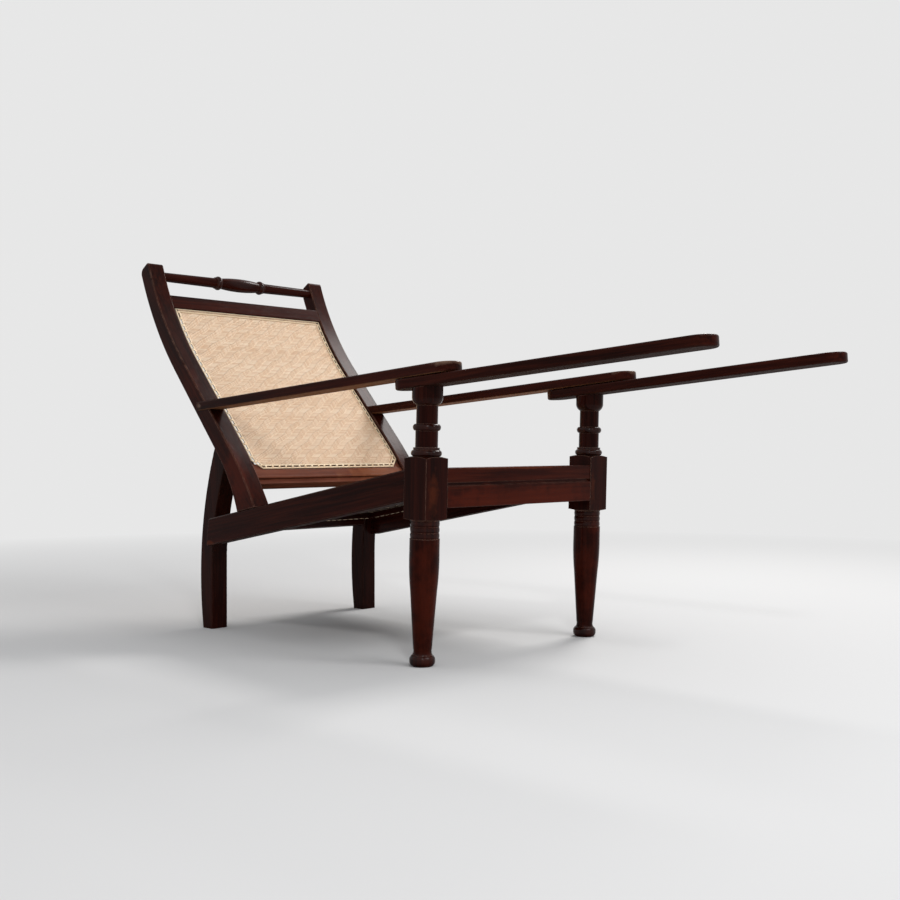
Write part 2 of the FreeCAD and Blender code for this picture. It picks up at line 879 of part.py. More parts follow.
def rear_rail_outline(shoulder=0, ledge=True):
    first = rear_rail_place + shoulder
    last = rear_rail_place + d.rear_rail_thickness - shoulder
    drop = d.rear_rail_bottom_drop - shoulder
    corners = [
        (first, seat_line(first, drop)),
        (last, seat_line(last, drop)),
        (last, seat_line(last, shoulder)),
        (first, seat_line(first, shoulder)),
    ]
    if ledge:
        ledge_top = d.seat_cane_drop + d.cane_thickness
        ledge_low = ledge_top + d.seat_ledge_thickness
        front = first - d.seat_ledge_width
        corners += [
            (first, seat_line(first, ledge_top)),
            (front, seat_line(front, ledge_top)),
            (front, seat_line(front, ledge_low)),
            (first, seat_line(first, ledge_low)),
        ]
    return corners


def at_corner(edge, corners):
    """Whether an edge across the chair starts at one of these corners of the side view."""
    point = edge.Vertexes[0].Point
    near = any(same(point.y, corner[0].value) and same(point.z, corner[1].value) for corner in corners)
    return near and runs_along_x(edge)


def build_cross_rail(name, corners, tenon, half, length, rounded=(), edge_round=0):
    """A rail across the chair with a tenon at each end, and its arrises at some corners rounded."""
    body = new_body(name)
    slab(body, name + "_board", corners, -half, half)
    if rounded:
        fillet = "PartDesign::Fillet"
        dressed(body, name + "_round", fillet, edge_round, lambda edge: at_corner(edge, rounded))
    slab(body, name + "_tenons", tenon, -(half + length), half + length)
    return finished(stand(body), name)


# Back rails, crest and caning


def lower_rail_outline():
    """The lower back rail, with a bead over its set-back foot and a rebate behind the cane."""
    front = d.lower_rail_recess
    step = d.lower_rail_bead_step
    rebate = d.cane_recess + d.cane_thickness
    foot = front + d.lower_rail_foot_setback
    bead_low = lower_rail_low + d.lower_rail_height * RAIL_BEAD_LOW_SHARE
    bead_top = lower_rail_low + d.lower_rail_height * RAIL_BEAD_HIGH_SHARE
    lip = lower_rail_high + d.cane_ledge_width
    rear = front + d.lower_rail_depth
    return [
        low_spot(lower_rail_low, foot),
        low_spot(bead_low, foot),
        low_spot(bead_low, front - step),
        low_spot(bead_top, front - step),
        low_spot(bead_top, front),
        low_spot(lower_rail_high, front),
        low_spot(lower_rail_high, rebate) + (-(d.stile_lower_curve - rebate),),
        low_spot(lip, rebate),
        low_spot(lip, rear),
        low_spot(lower_rail_low, rear),
    ]


def upper_rail_outline():
    """The upper back rail, with a rebate behind the cane along its foot."""
    front = d.upper_rail_recess
    rebate = d.cane_recess + d.cane_thickness
    lip = upper_rail_low - d.cane_ledge_width
    rear = front + d.upper_rail_depth
    return [
        high_spot(upper_rail_low, front),
        high_spot(upper_rail_high, front),
        high_spot(upper_rail_high, rear),
        high_spot(lip, rear),
        high_spot(lip, rebate) + (d.stile_upper_curve + rebate,),
        high_spot(upper_rail_low, rebate),
    ]


def drawn_in(corners, share):
    """The same outline drawn in towards the middle of its corners."""
    count = len(corners)
    across = sum((as_size(corner[0]) for corner in corners), as_size(0)) / count
    up = sum((as_size(corner[1]) for corner in corners), as_size(0)) / count
    return [(across + (c[0] - across) * share, up + (c[1] - up) * share) for c in corners]


def back_rail_tenon(spot, low, high, front, depth):
    """A tenon drawn in from the four corners of a back rail's section, without its lip and bead."""
    rear = front + depth
    section = [spot(low, front), spot(high, front), spot(high, rear), spot(low, rear)]
    return drawn_in(section, BACK_TENON_SHARE)


def lower_rail_tenon():
    front = d.lower_rail_recess
    return back_rail_tenon(low_spot, lower_rail_low, lower_rail_high, front, d.lower_rail_depth)


def upper_rail_tenon():
    front = d.upper_rail_recess
    return back_rail_tenon(high_spot, upper_rail_low, upper_rail_high, front, d.upper_rail_depth)


def crest_corners():
    ring_in = d.crest_ring_place - d.crest_ring_width / 2
    ring_out = ring_in + d.crest_ring_width
    tip = stile_inner + d.crest_tenon_length
    fillet_out = ring_out + d.crest_fillet_width
    ring_bend = bead_curve(d.crest_ring_width, d.crest_ring_radius - d.crest_neck_radius)
    barrel_bend = bead_curve(ring_in * 2, d.crest_barrel_radius - d.crest_barrel_end_radius)
    return [
        (-tip, as_size(0)),
        (tip, as_size(0)),
        (tip, d.crest_tenon_radius),
        (stile_inner, d.crest_tenon_radius),
        (stile_inner, d.crest_end_radius),
        (fillet_out, d.crest_spindle_radius),
        (fillet_out, d.crest_neck_radius),
        (ring_out, d.crest_neck_radius, ring_bend),
        (ring_in, d.crest_neck_radius),
        (ring_in, d.crest_barrel_end_radius, barrel_bend),
        (-ring_in, d.crest_barrel_end_radius),
        (-ring_in, d.crest_neck_radius, ring_bend),
        (-ring_out, d.crest_neck_radius),
        (-fillet_out, d.crest_neck_radius),
        (-fillet_out, d.crest_spindle_radius),
        (-stile_inner, d.crest_end_radius),
        (-stile_inner, d.crest_tenon_radius),
        (-tip, d.crest_tenon_radius),
    ]


def build_crest():
    body = new_body("crest_rail_turning")
    turning(body, "crest_rail_turned", crest_corners(), "H_Axis")
    place(body, 0, crest_centre[0] - middle, crest_centre[1])
    return finished(body, "crest_rail")


def crest_socket(name, side):
    socket = doc.addObject("Part::Cylinder", name)
    bind(socket, "Radius", d.crest_tenon_radius)
    bind(socket, "Height", d.crest_tenon_length + d.socket_gap)
    start = stile_inner if side > 0 else -(stile_inner + d.crest_tenon_length + d.socket_gap)
    y = crest_centre[0] - middle
    base = FreeCAD.Vector(start.value, y.value, crest_centre[1].value)
    sideways = FreeCAD.Rotation(FreeCAD.Vector(0, 1, 0), RIGHT_ANGLE)
    socket.Placement = FreeCAD.Placement(base, sideways)
    bind(socket, "Placement.Base.x", start)
    bind(socket, "Placement.Base.y", y)
    bind(socket, "Placement.Base.z", crest_centre[1])
    return socket


def build_back_cane():
    body = new_body("back_cane")
    half = stile_inner - d.socket_gap
    front = d.cane_recess
    corners = back_band(lower_rail_high, upper_rail_low, front, front + d.cane_thickness)
    slab(body, "back_cane_sheet", corners, -half, half)
    return finished(stand(body), "back_cane_panel")


def build_back_binder():
    """Flat strips over the holes, down both sides and along the head and foot of the cane."""
    body = new_body("back_binder")
    front = d.cane_recess - d.back_binder_thickness
    low = lower_rail_high + d.cane_margin
    high = upper_rail_low - d.cane_margin
    outer = stile_inner - d.back_binder_inset
    inner = outer - d.back_binder_width
    for name, side in SIDES.items():
        corners = back_band(low, high, front, d.cane_recess)
        slab(body, f"back_binder_{name}", corners, side * inner, side * outer)
    foot = low_strip(low, low + d.back_binder_width, front, d.cane_recess)
    slab(body, "back_binder_foot", foot, -outer, outer)
    head = high_strip(high - d.back_binder_width, high, front, d.cane_recess)
    slab(body, "back_binder_head", head, -outer, outer)
    return finished(stand(body), "back_cane_binder")


def seat_rectangle(inset, low, high):
    """The caned field of the seat, drawn on the seat's slope, for a sheet between two heights on it."""
    rail_rear = front_rail_face(front_rail_top, d.front_rail_thickness)
    front = (rail_rear + inset - low * sine(seat_angle)) / cosine(seat_angle)
    rear = (rear_rail_place - inset - high * sine(seat_angle)) / cosine(seat_angle)
    half = rail_inner - inset
    return [(-half, front), (half, front), (half, rear), (-half, rear)]


def on_seat(body):
    """Put a piece on the slope of the seat, with its zero at the rails' top edge."""
    place(body, 0, -middle, d.seat_height, -seat_angle)
    return body


def build_seat_cane(posts, legs):
    body = new_body("seat_cane")
    high = -d.seat_cane_drop
    low = high - d.cane_thickness
    slab(body, "seat_cane_sheet", seat_rectangle(d.socket_gap, low, high), low, high, role="XY_Plane")
    return finished(cut("seat_cane_fitted", on_seat(body), *posts, *legs), "seat_cane_panel")


def build_seat_binder(posts, legs):
    body = new_body("seat_binder")
    low = -d.seat_cane_drop
    high = low + d.seat_binder_thickness
    outer = seat_rectangle(d.seat_binder_inset, low, high)
    slab(body, "seat_binder_field", outer, low, high, role="XY_Plane")
    inner = seat_rectangle(d.seat_binder_inset + d.seat_binder_width, low, high)
    slab(body, "seat_binder_opening", inner, low, high, kind="PartDesign::Pocket", role="XY_Plane")
    return finished(cut("seat_binder_fitted", on_seat(body), *posts, *legs), "seat_cane_binder")


# Stiles, rear legs and side rails


def is_lengthwise(edge):
    """An edge of the side-view outline itself, not one of those that run across the chair."""
    return not runs_along_x(edge)


def is_head_front(edge):
    return at_corner(edge, (head_front,))


def is_head_rear(edge):
    return at_corner(edge, (head_rear,))


def build_stile(name, side, tools):
    body = new_body(name + "_board")
    slab(body, name + "_sawn", stile_outline(), side * stile_inner, side * d.stile_outer)
    dressed(body, name + "_head_front", "PartDesign::Fillet", d.stile_head_front_round, is_head_front)
    dressed(body, name + "_head_rear", "PartDesign::Fillet", d.stile_head_rear_round, is_head_rear)
    dressed(body, name + "_arrises", "PartDesign::Chamfer", d.stile_arris, is_front_or_rear_arris)
    slab(body, name + "_tenon", stile_tenon_outline(), side * stile_tenon_low, side * stile_tenon_high)
    front = d.cane_recess + d.cane_thickness
    low = lower_rail_high + d.cane_ledge_width
    high = upper_rail_low - d.cane_ledge_width
    ledge = back_band(low, high, front, front + d.cane_ledge_thickness)
    slab(body, name + "_ledge", ledge, side * (stile_inner - d.cane_ledge_width), side * stile_inner)
    return finished(cut(name + "_cut", stand(body), *tools), name)


def is_front_or_rear_arris(edge):
    """The long edges on both faces of the stile, apart from the foot."""
    on_foot = all(same(v.Point.z, seat_line(as_size(v.Point.y)).value) for v in edge.Vertexes)
    return is_lengthwise(edge) and not on_foot


def build_leg(name, side, tools):
    body = new_body(name + "_board")
    slab(body, name + "_sawn", leg_outline(), side * leg_inner, side * d.leg_outer)
    dressed(body, name + "_edge_round", "PartDesign::Fillet", d.leg_edge_round, is_leg_arris)
    return finished(cut(name + "_cut", stand(body), *tools), name)


def is_leg_arris(edge):
    """The long edges of the leg, from the floor to its head."""
    low = min(v.Point.z for v in edge.Vertexes)
    high = max(v.Point.z for v in edge.Vertexes)
    return is_lengthwise(edge) and high - low > d.leg_foot_depth.value


def build_side_rail(name, side, leg_seat, tools):
    blank = new_body(name + "_board")
    outer = side * d.side_rail_outer
    slab(blank, name + "_sawn", side_rail_outline(overlap=d.rail_tenon_length), side * rail_inner, outer)
    dressed(blank, name + "_chamfer", "PartDesign::Chamfer", d.side_rail_chamfer, is_rail_arris)
    ledge_top = d.seat_cane_drop + d.cane_thickness
    ledge_low = ledge_top + d.seat_ledge_thickness
    ledge = side_rail_outline(ledge_top, ledge_low, d.rail_tenon_length)
    slab(blank, name + "_ledge", ledge, side * (rail_inner - d.seat_ledge_width), side * rail_inner)
    fitted = cut(name + "_fitted", stand(blank), leg_seat, *tools)
    tenons = new_body(name + "_tenons")
    slab(tenons, name + "_front_tenon", front_tenon_outline(), side * tenon_low, side * tenon_high)
    rear = new_body(name + "_rear_tenon")
    slab(rear, name + "_rear_tenon_pad", rear_tenon_outline(), side * rail_inner, side * rail_middle)
    return finished(joined(name + "_joined", fitted, stand(tenons), stand(rear)), name)


def is_rail_arris(edge):
    """The long edges on the outer face of the rail."""
    outer = d.side_rail_outer.value
    on_face = all(same(abs(v.Point.x), outer) for v in edge.Vertexes)
    return on_face and edge.Length > d.side_rail_depth.value * 2


# Arms, leg rests and their pins

arm_half = d.arm_width / 2
arm_rear_outer = d.stile_outer + d.arm_rear_proud - d.post_centre
rest_low = d.running_gap
rest_high = rest_low + d.leg_rest_thickness
arm_low = rest_high + d.arm_gap
arm_high = arm_low + d.arm_thickness


def rest_outline(side, front, rear):
    """A flat board with two round ends, turned in the plane of the arms; front is towards -Y."""
    half = rest_half
    angle = d.leg_rest_toe_angle
    along = (side * sine(angle), cosine(angle))
    across = (cosine(angle), -(side * sine(angle)))

    def spot(lengthwise, sideways):
        return (
            along[0] * lengthwise + across[0] * sideways,
            along[1] * lengthwise + across[1] * sideways,
        )

    return [
        spot(half - front, -half) + (half,),
        spot(-front, 0) + (half,),
        spot(half - front, half),
        spot(rear - half, half) + (half,),
        spot(rear, 0) + (half,),
        spot(rear - half, -half),
    ]


def arm_outline(side, front):
    """A flat board with a round front end that tapers to where it laps the outside of the stile."""
    half = arm_half
    rear = arm_rear_reach()
    inner = arm_rear_outer - d.arm_rear_width
    return [
        (-side * half, half - front, side * half),
        (as_size(0), -front, side * half),
        (side * half, half - front),
        (side * arm_rear_outer, rear),
        (side * inner, rear),
    ]


def is_flat_edge(edge):
    """The edges round the top and the underside of a flat board."""
    return all(same(v.Point.z, edge.Vertexes[0].Point.z) for v in edge.Vertexes)


def build_plank(name, side, corners, low, high, edge_round):
    body = new_body(name + "_board")
    slab(body, name + "_sawn", corners, low, high, role="XY_Plane")
    dressed(body, name + "_edge_round", "PartDesign::Fillet", edge_round, is_flat_edge)
    return in_arm_frame(body, side)


def pin_profile():
    shaft = d.pin_diameter / 2
    head = d.pin_head_diameter / 2
    under_head = arm_high - d.pin_head_thickness
    return [
        (as_size(0), -d.pin_depth),
        (shaft, -d.pin_depth),
        (shaft, under_head),
        (head, under_head),
        (head, arm_high),
        (as_size(0), arm_high),
    ]


def build_pin(name, side):
    body = new_body(name + "_turning")
    turning(body, name + "_turned", pin_profile(), "V_Axis")
    return finished(in_arm_frame(body, side), name)


def screw_place():
    """Where the screw goes in, on the arm's outer edge near its rear end."""
    back = arm_rear_reach() - d.arm_screw_end_distance
    middle_height = (arm_low + arm_high) / 2
    across = d.post_centre + arm_rear_outer
    y = cup_place + back * cosine(arm_angle) + middle_height * sine(arm_angle)
    z = cup_height - back * sine(arm_angle) + middle_height * cosine(arm_angle)
    return across, y, z


def build_screw(name, side):
    body = new_body(name + "_turning")
    shaft = d.arm_screw_diameter / 2
    head = d.arm_screw_head_diameter / 2
    seat = -side * d.arm_screw_head_thickness
    tip = -side * d.arm_screw_length
    corners = [
        (tip, as_size(0)),
        (as_size(0), as_size(0)),
        (as_size(0), head),
        (seat, head),
        (seat, shaft),
        (tip, shaft),
    ]
    turning(body, name + "_turned", corners, "H_Axis")
    across, y, z = screw_place()
    place(body, side * across, y - middle, z)
    return finished(body, name)


def build_dowel(name, side):
    """A dowel square to the stile's back, half in the stile and half in the leg's head."""
    low, high = leg_head()
    centre = ((low[0] + high[0]) / 2, (low[1] + high[1]) / 2)
    start = moved(centre, behind, -d.leg_dowel_length / 2)
    rod = cylinder(name + "_rod", d.leg_dowel_diameter / 2, d.leg_dowel_length, 0, 0, 0)
    across = (stile_inner + d.leg_outer) / 2
    place(rod, side * across, start[0] - middle, start[1], -(d.stile_lean_angle + RIGHT_ANGLE))
    return finished(rod, name)


# The whole chair. The planks were made by hand and differ from side to side: how far the arm reaches
# in front of its post, and how far the leg rest reaches in front of it and behind it.

REACHES = {
    "right": (d.right_arm_reach, d.right_rest_reach, d.right_rest_tail),
    "left": (d.left_arm_reach, d.left_rest_reach, d.left_rest_tail),
}
cane_cutters = []
leg_cutters = []
for hand, side in SIDES.items():
    block = new_body(hand + "_block_room")
    room = square(block_half + d.socket_gap)
    slab(block, hand + "_block_room_pad", room, block_bottom, block_top, role="XY_Plane")
    place(block, side * d.post_centre, -middle, 0, rake_angle)
    cane_cutters.append(block)
    inner = side * (leg_inner - d.socket_gap)
    leg_cutters.append(tool(hand + "_leg_room", leg_outline(), inner, side * (d.stile_outer + d.stile_width)))

for hand, side in SIDES.items():
    spread = d.stile_outer + d.stile_width
    far_in = side * (leg_inner - d.leg_width)
    stile_room = tool(hand + "_stile_room", stile_outline(), far_in, side * d.stile_outer)
    leg_room = tool(hand + "_rail_end_room", leg_outline(), far_in, side * spread)
    pin = build_pin(hand + "_pivot_pin", side)
    screw = build_screw(hand + "_arm_screw", side)
    dowel = build_dowel(hand + "_leg_dowel", side)

    depth = d.socket_gap
    front_end = post_inner + d.rail_tenon_length + depth
    near, far = (side * (d.post_centre + reach) for reach in (-d.block_width, d.block_width))
    hollows = [
        tool(hand + "_cup_trim", trim_outline(), near, far),
        tool(hand + "_floor", floor_outline(), near, far),
        tool(hand + "_rail_mortise", front_tenon_outline(depth), side * tenon_low, side * tenon_high),
        tool(hand + "_front_mortise", front_rail_tenon_outline(), side * post_inner, side * front_end),
    ]
    post = build_post(hand + "_front_post", side)
    finished(cut(hand + "_post_cut", post, *hollows, pin), hand + "_front_post")

    tenon_end = stile_inner + d.back_tenon_length + depth
    sockets = [
        tool(hand + "_lower_mortise", lower_rail_tenon(), side * stile_inner, side * tenon_end),
        tool(hand + "_upper_mortise", upper_rail_tenon(), side * stile_inner, side * tenon_end),
        crest_socket(hand + "_crest_socket", side),
    ]
    build_stile(hand + "_back_stile", side, [*sockets, screw, dowel])

    rear_end = leg_inner + d.rail_tenon_length + depth
    rear_tenon = rear_rail_outline(d.rear_rail_shoulder, False)
    rear_mortise = tool(hand + "_rear_mortise", rear_tenon, side * leg_inner, side * rear_end)
    rail_tenon = rear_tenon_outline(depth)
    side_mortise = tool(hand + "_side_mortise", rail_tenon, side * rail_inner, side * rail_middle)
    build_leg(hand + "_rear_leg", side, [stile_room, rear_mortise, side_mortise, dowel])

    tenon = stile_tenon_outline(depth)
    foot_mortise = tool(hand + "_foot_mortise", tenon, side * stile_tenon_low, side * stile_tenon_high)
    build_side_rail(hand + "_side_rail", side, leg_room, [foot_mortise])

    arm_plan = arm_outline(side, REACHES[hand][0])
    arm = build_plank(hand + "_arm", side, arm_plan, arm_low, arm_high, d.arm_edge_round)
    finished(cut(hand + "_arm_cut", arm, stile_room, pin, screw), hand + "_arm")

    rest_plan = rest_outline(side, *REACHES[hand][1:])
    rest = build_plank(hand + "_leg_rest", side, rest_plan, rest_low, rest_high, d.leg_rest_edge_round)
    bore = cylinder(hand + "_rest_bore", d.pin_diameter / 2 + d.pin_clearance, arm_high, 0, 0, 0)
    finished(cut(hand + "_rest_cut", rest, in_arm_frame(bore, side)), hand + "_leg_rest")

length = d.rail_tenon_length
rail = front_rail_outline()
fronts = (rail[0], rail[-5], rail[-1])
tenon = front_rail_tenon_outline()
build_cross_rail("front_seat_rail", rail, tenon, post_inner, length, fronts, d.front_rail_edge_round)
tenon = rear_rail_outline(d.rear_rail_shoulder, False)
build_cross_rail("rear_seat_rail", rear_rail_outline(), tenon, leg_inner, length)

length = d.back_tenon_length
edge_round = d.back_rail_edge_round
rail = lower_rail_outline()
fronts = (rail[2], rail[5])
build_cross_rail("lower_back_rail", rail, lower_rail_tenon(), stile_inner, length, fronts, edge_round)
rail = upper_rail_outline()
fronts = (rail[0], rail[1])
build_cross_rail("upper_back_rail", rail, upper_rail_tenon(), stile_inner, length, fronts, edge_round)
build_crest()
build_back_cane()
build_back_binder()
build_seat_cane(cane_cutters, leg_cutters)
build_seat_binder(cane_cutters, leg_cutters)

doc.recompute()


def check(doc, nodes):
    """Stop if anything in the document failed, or if a piece isn't a sound solid."""
    for thing in doc.Objects:
        if "Invalid" in thing.State or "Error" in thing.State:
            raise RuntimeError(f"{thing.Name} failed: {thing.State}")
    for node in nodes:
        if node.Shape.isNull() or not node.Shape.isValid() or not node.Shape.Solids:
            raise RuntimeError(f"{node.Label} has no sound solid")


def export(nodes):
    os.makedirs("parts", exist_ok=True)
    for node in nodes:
        node.Shape.exportStep(f"parts/{node.Label}.step")


check(doc, nodes)
export(nodes)
box = FreeCAD.BoundBox()
for node in nodes:
    box.add(node.Shape.BoundBox)
    print(f"{node.Label}: {len(node.Shape.Solids)} solid, {node.Shape.Volume:.0f} mm3")
print(f"Overall: {box.XLength:.1f} wide, {box.YLength:.1f} deep and {box.ZLength:.1f} high")
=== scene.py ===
import bpy
import json
import math
import random
from collections import namedtuple
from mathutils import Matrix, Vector

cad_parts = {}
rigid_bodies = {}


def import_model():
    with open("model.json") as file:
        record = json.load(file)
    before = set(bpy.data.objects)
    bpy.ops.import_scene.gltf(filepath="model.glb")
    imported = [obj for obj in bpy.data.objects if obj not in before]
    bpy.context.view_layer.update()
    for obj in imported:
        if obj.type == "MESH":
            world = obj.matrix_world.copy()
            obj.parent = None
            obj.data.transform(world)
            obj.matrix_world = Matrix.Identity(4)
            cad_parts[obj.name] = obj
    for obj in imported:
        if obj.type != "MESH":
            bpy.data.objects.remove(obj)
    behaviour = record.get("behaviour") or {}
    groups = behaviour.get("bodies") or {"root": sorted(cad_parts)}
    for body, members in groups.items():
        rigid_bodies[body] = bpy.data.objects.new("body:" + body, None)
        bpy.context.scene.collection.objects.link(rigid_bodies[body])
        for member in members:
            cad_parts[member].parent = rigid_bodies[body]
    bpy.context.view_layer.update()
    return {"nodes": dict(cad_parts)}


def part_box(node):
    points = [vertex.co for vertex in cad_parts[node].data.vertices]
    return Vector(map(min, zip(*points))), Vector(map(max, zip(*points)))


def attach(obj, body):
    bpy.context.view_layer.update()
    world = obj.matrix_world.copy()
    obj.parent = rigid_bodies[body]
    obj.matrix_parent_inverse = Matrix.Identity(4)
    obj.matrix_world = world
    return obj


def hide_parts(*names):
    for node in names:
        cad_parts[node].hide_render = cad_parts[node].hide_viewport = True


# The looks of a planters chair: dark polished hardwood, a woven cane back and seat,
# and the small brass fittings that hold the arms and the leg rests.
# Lengths are in metres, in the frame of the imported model.

for thing in list(bpy.data.objects):
    bpy.data.objects.remove(thing)

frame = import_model()
nodes = frame["nodes"]

# Side profile of the back: straight from the waist to the shoulder, with an arc beyond each.
# A place in it is a distance to the rear and a height.

LEAN_ANGLE = math.radians(42)
WAIST = (0.48138, 0.46852)
SHOULDER_RUN = 0.27193
LOWER_RADIUS = 0.920
UPPER_RADIUS = 0.760

# Cane of the back: how deep it lies behind the front of the stiles, and its outline

CANE_SETBACK = 0.007
BACK_HALF_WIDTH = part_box("back_cane_panel")[1].x
BACK_RIGHT_MARGIN = 0.0045
BACK_LOW_HEIGHT = 0.3952
BACK_HIGH_HEIGHT = 0.8128
CORNER_CUT = 0.026

# The runs between which a height on the back is looked for, and how closely

LOWEST_RUN = -0.3
HIGHEST_RUN = 0.7
RUN_TOLERANCE = 0.00001

# Cane of the seat: the line of the rails' top edges, how deep the cane lies under it, and its outline

SEAT_SLOPE = 0.188
SEAT_ANGLE = math.atan(SEAT_SLOPE)
SEAT_HEIGHT = 0.4091
POST_FOOT = 0.17062
SEAT_DROP = 0.006
SEAT_HALF_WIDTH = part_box("seat_cane_panel")[1].x
SEAT_FRONT = -0.183
SEAT_REAR = 0.557

# Strips of the weave. A pitch is the distance from strip to strip, across the panel and along it.

BACK_PITCH = (0.0042, 0.0027)
SEAT_PITCH = (0.0046, 0.0030)
STRIP_WIDTH_SHARE = 0.91
STRIP_THICKNESS = 0.0007
STRIP_WANDER = 0.0001
WEAVE_LIFT = 0.00048
WEAVE_SINK = 0.0012
WEAVE_INSET = 0.0100
TOP_WEAVE_INSET = 0.0042
CORNER_SLACK = 0.003
# Lowest shade of a lengthwise strip, so that these are darker than the crosswise ones: painted shade for
# the light that they reflect less
LENGTHWISE_PAINTED_SHADE = 0.42

# The twill: how many strips one passes at a time, and the slow wave in its diagonals

TWILL_SPAN = 6
TWILL_WAVE = 0.9
TWILL_WAVE_ROWS = 31
TWILL_WAVE_TURN = 0.11

# Binder strips round the weave, the loops over them, and the stitches behind

BINDER_STEP = 0.012
BINDER_THICKNESS = 0.0013
BINDER_WIDTH = 0.0048
BINDER_OVERRUN_SHARE = 0.4
OUTER_BINDER_INSET = 0.0034
INNER_BINDER_INSET = 0.0116
BINDER_LIFT = 0.0004
LOOP_START_INSET = 0.0036
LOOP_END_INSET = 0.0122
LOOP_PITCH = 0.0205
LOOP_WIDTH = 0.0074
LOOP_LIFT = 0.0003
LOOP_WANDER = 0.0012
HOLE_INSET = 0.0064
STITCH_SHARE = 0.62
STITCH_WIDTH = 0.0026
STITCH_LIFT = -0.0156

# Points round a strip, and the short distance that shows which way the cane's face points

RING = 4
PROBE = 0.001

# Seeds of the random shades and small shifts

BACK_WEAVE_SEED = 11
BACK_EDGING_SEED = 12
SEAT_WEAVE_SEED = 21
SEAT_EDGING_SEED = 22


def towards(point, direction, distance):
    return (point[0] + direction[0] * distance, point[1] + direction[1] * distance)


LEAN = (math.sin(LEAN_ANGLE), math.cos(LEAN_ANGLE))
BEHIND = (LEAN[1], -LEAN[0])
SHOULDER = towards(WAIST, LEAN, SHOULDER_RUN)
LOWER_CENTRE = towards(WAIST, BEHIND, LOWER_RADIUS)
UPPER_CENTRE = towards(SHOULDER, BEHIND, -UPPER_RADIUS)


def back_frame(run):
    """Point and outward normal of the cane's face in the side profile, at a run from the waist."""
    radius = LOWER_RADIUS - CANE_SETBACK
    if run < 0:
        turn = LEAN_ANGLE + run / radius
        normal = (-math.cos(turn), math.sin(turn))
        return towards(LOWER_CENTRE, normal, radius), normal
    if run <= SHOULDER_RUN:
        normal = (-BEHIND[0], -BEHIND[1])
        return towards(towards(WAIST, LEAN, run), normal, -CANE_SETBACK), normal
    radius = UPPER_RADIUS + CANE_SETBACK
    turn = LEAN_ANGLE - (run - SHOULDER_RUN) / radius
    normal = (-math.cos(turn), math.sin(turn))
    return towards(UPPER_CENTRE, normal, -radius), normal


def run_at_height(height):
    """The run at which the cane's face reaches a height, found by halving."""
    low = LOWEST_RUN
    high = HIGHEST_RUN
    while high - low > RUN_TOLERANCE:
        middle = (low + high) / 2
        if back_frame(middle)[0][1] < height:
            low = middle
        else:
            high = middle
    return low


def back_point(across, run, lift):
    """A point over the back's cane; run goes up from the waist."""
    point, normal = back_frame(run)
    y, z = towards(point, normal, lift)
    return Vector((across, y, z))


def back_weave_point(across, run, lift):
    return back_point(across + BACK_RIGHT_MARGIN / 2, run, lift - WEAVE_SINK)


def seat_point(across, run, lift):
    """A point over the seat's cane; run goes back from the front edge, along the slope."""
    y = SEAT_FRONT + run * math.cos(SEAT_ANGLE)
    z = SEAT_HEIGHT - SEAT_SLOPE * (y + POST_FOOT) - SEAT_DROP
    return Vector((across, y + lift * math.sin(SEAT_ANGLE), z + lift * math.cos(SEAT_ANGLE)))


def seat_weave_point(across, run, lift):
    return seat_point(across, run, lift - WEAVE_SINK)


def new_object(name, points, faces, smooth=True):
    mesh = bpy.data.meshes.new(name)
    mesh.from_pydata([tuple(point) for point in points], [], faces)
    mesh.validate()
    mesh.update()
    if smooth:
        mesh.shade_smooth()
    thing = bpy.data.objects.new(name, mesh)
    bpy.context.scene.collection.objects.link(thing)
    return thing


class Strips:
    """Points and faces of many cane strips, gathered into one mesh with a random shade to each strip."""

    def __init__(self, seed):
        self.points = []
        self.faces = []
        self.shades = []
        self.random = random.Random(seed)

    def wander(self, most):
        return self.random.uniform(-1, 1) * most

    def add(self, centres, sides, ups, width, thick, shade=None):
        """A strip with a crowned face along the centres; sides and ups are its directions at each."""
        if shade is None:
            shade = self.random.random()
        base = len(self.points)
        for centre, side, up in zip(centres, sides, ups):
            self.points.append(centre - side * (width / 2))
            self.points.append(centre + up * (thick / 2))
            self.points.append(centre + side * (width / 2))
            self.points.append(centre - up * (thick / 2))
        self.shades.extend([shade] * (len(centres) * RING))
        for ring in range(len(centres) - 1):
            for corner in range(RING):
                here = base + ring * RING + corner
                beside = base + ring * RING + (corner + 1) % RING
                self.faces.append((here, here + RING, beside + RING, beside))
        last = base + (len(centres) - 1) * RING
        self.faces.append(tuple(range(base, base + RING)))
        self.faces.append(tuple(range(last + RING - 1, last - 1, -1)))

    def lay(self, centres, face, width, shade=None):
        """A strip of the weave; face is the way that it looks, or None if it runs along the panel."""
        sides = []
        ups = []
        for number, centre in enumerate(centres):
            before = centres[max(number - 1, 0)]
            after = centres[min(number + 1, len(centres) - 1)]
            along = (after - before).normalized()
            side = Vector((-1, 0, 0)) if face is None else face.cross(along).normalized()
            sides.append(side)
            ups.append(along.cross(side).normalized())
        self.add(centres, sides, ups, width, STRIP_THICKNESS, shade)

    def build(self, name, material):
        thing = new_object(name, self.points, self.faces)
        values = thing.data.attributes.new("shade", "FLOAT", "POINT")
        values.data.foreach_set("value", self.shades)
        thing.data.materials.append(material)
        return thing


def is_over(column, row):
    """A wavy twill that rises to the right: True where the crosswise strip lies on top."""
    wave = math.sin(2 * math.pi * row / TWILL_WAVE_ROWS + column * TWILL_WAVE_TURN)
    shift = round(TWILL_WAVE * wave)
    return (column - row + shift) % (TWILL_SPAN * 2) < TWILL_SPAN


def changes(column, row, column_step, row_step):
    """True where a strip changes from over to under, or back, next to this crossing."""
    here = is_over(column, row)
    before = is_over(column - column_step, row - row_step)
    after = is_over(column + column_step, row + row_step)
    return before != here or after != here


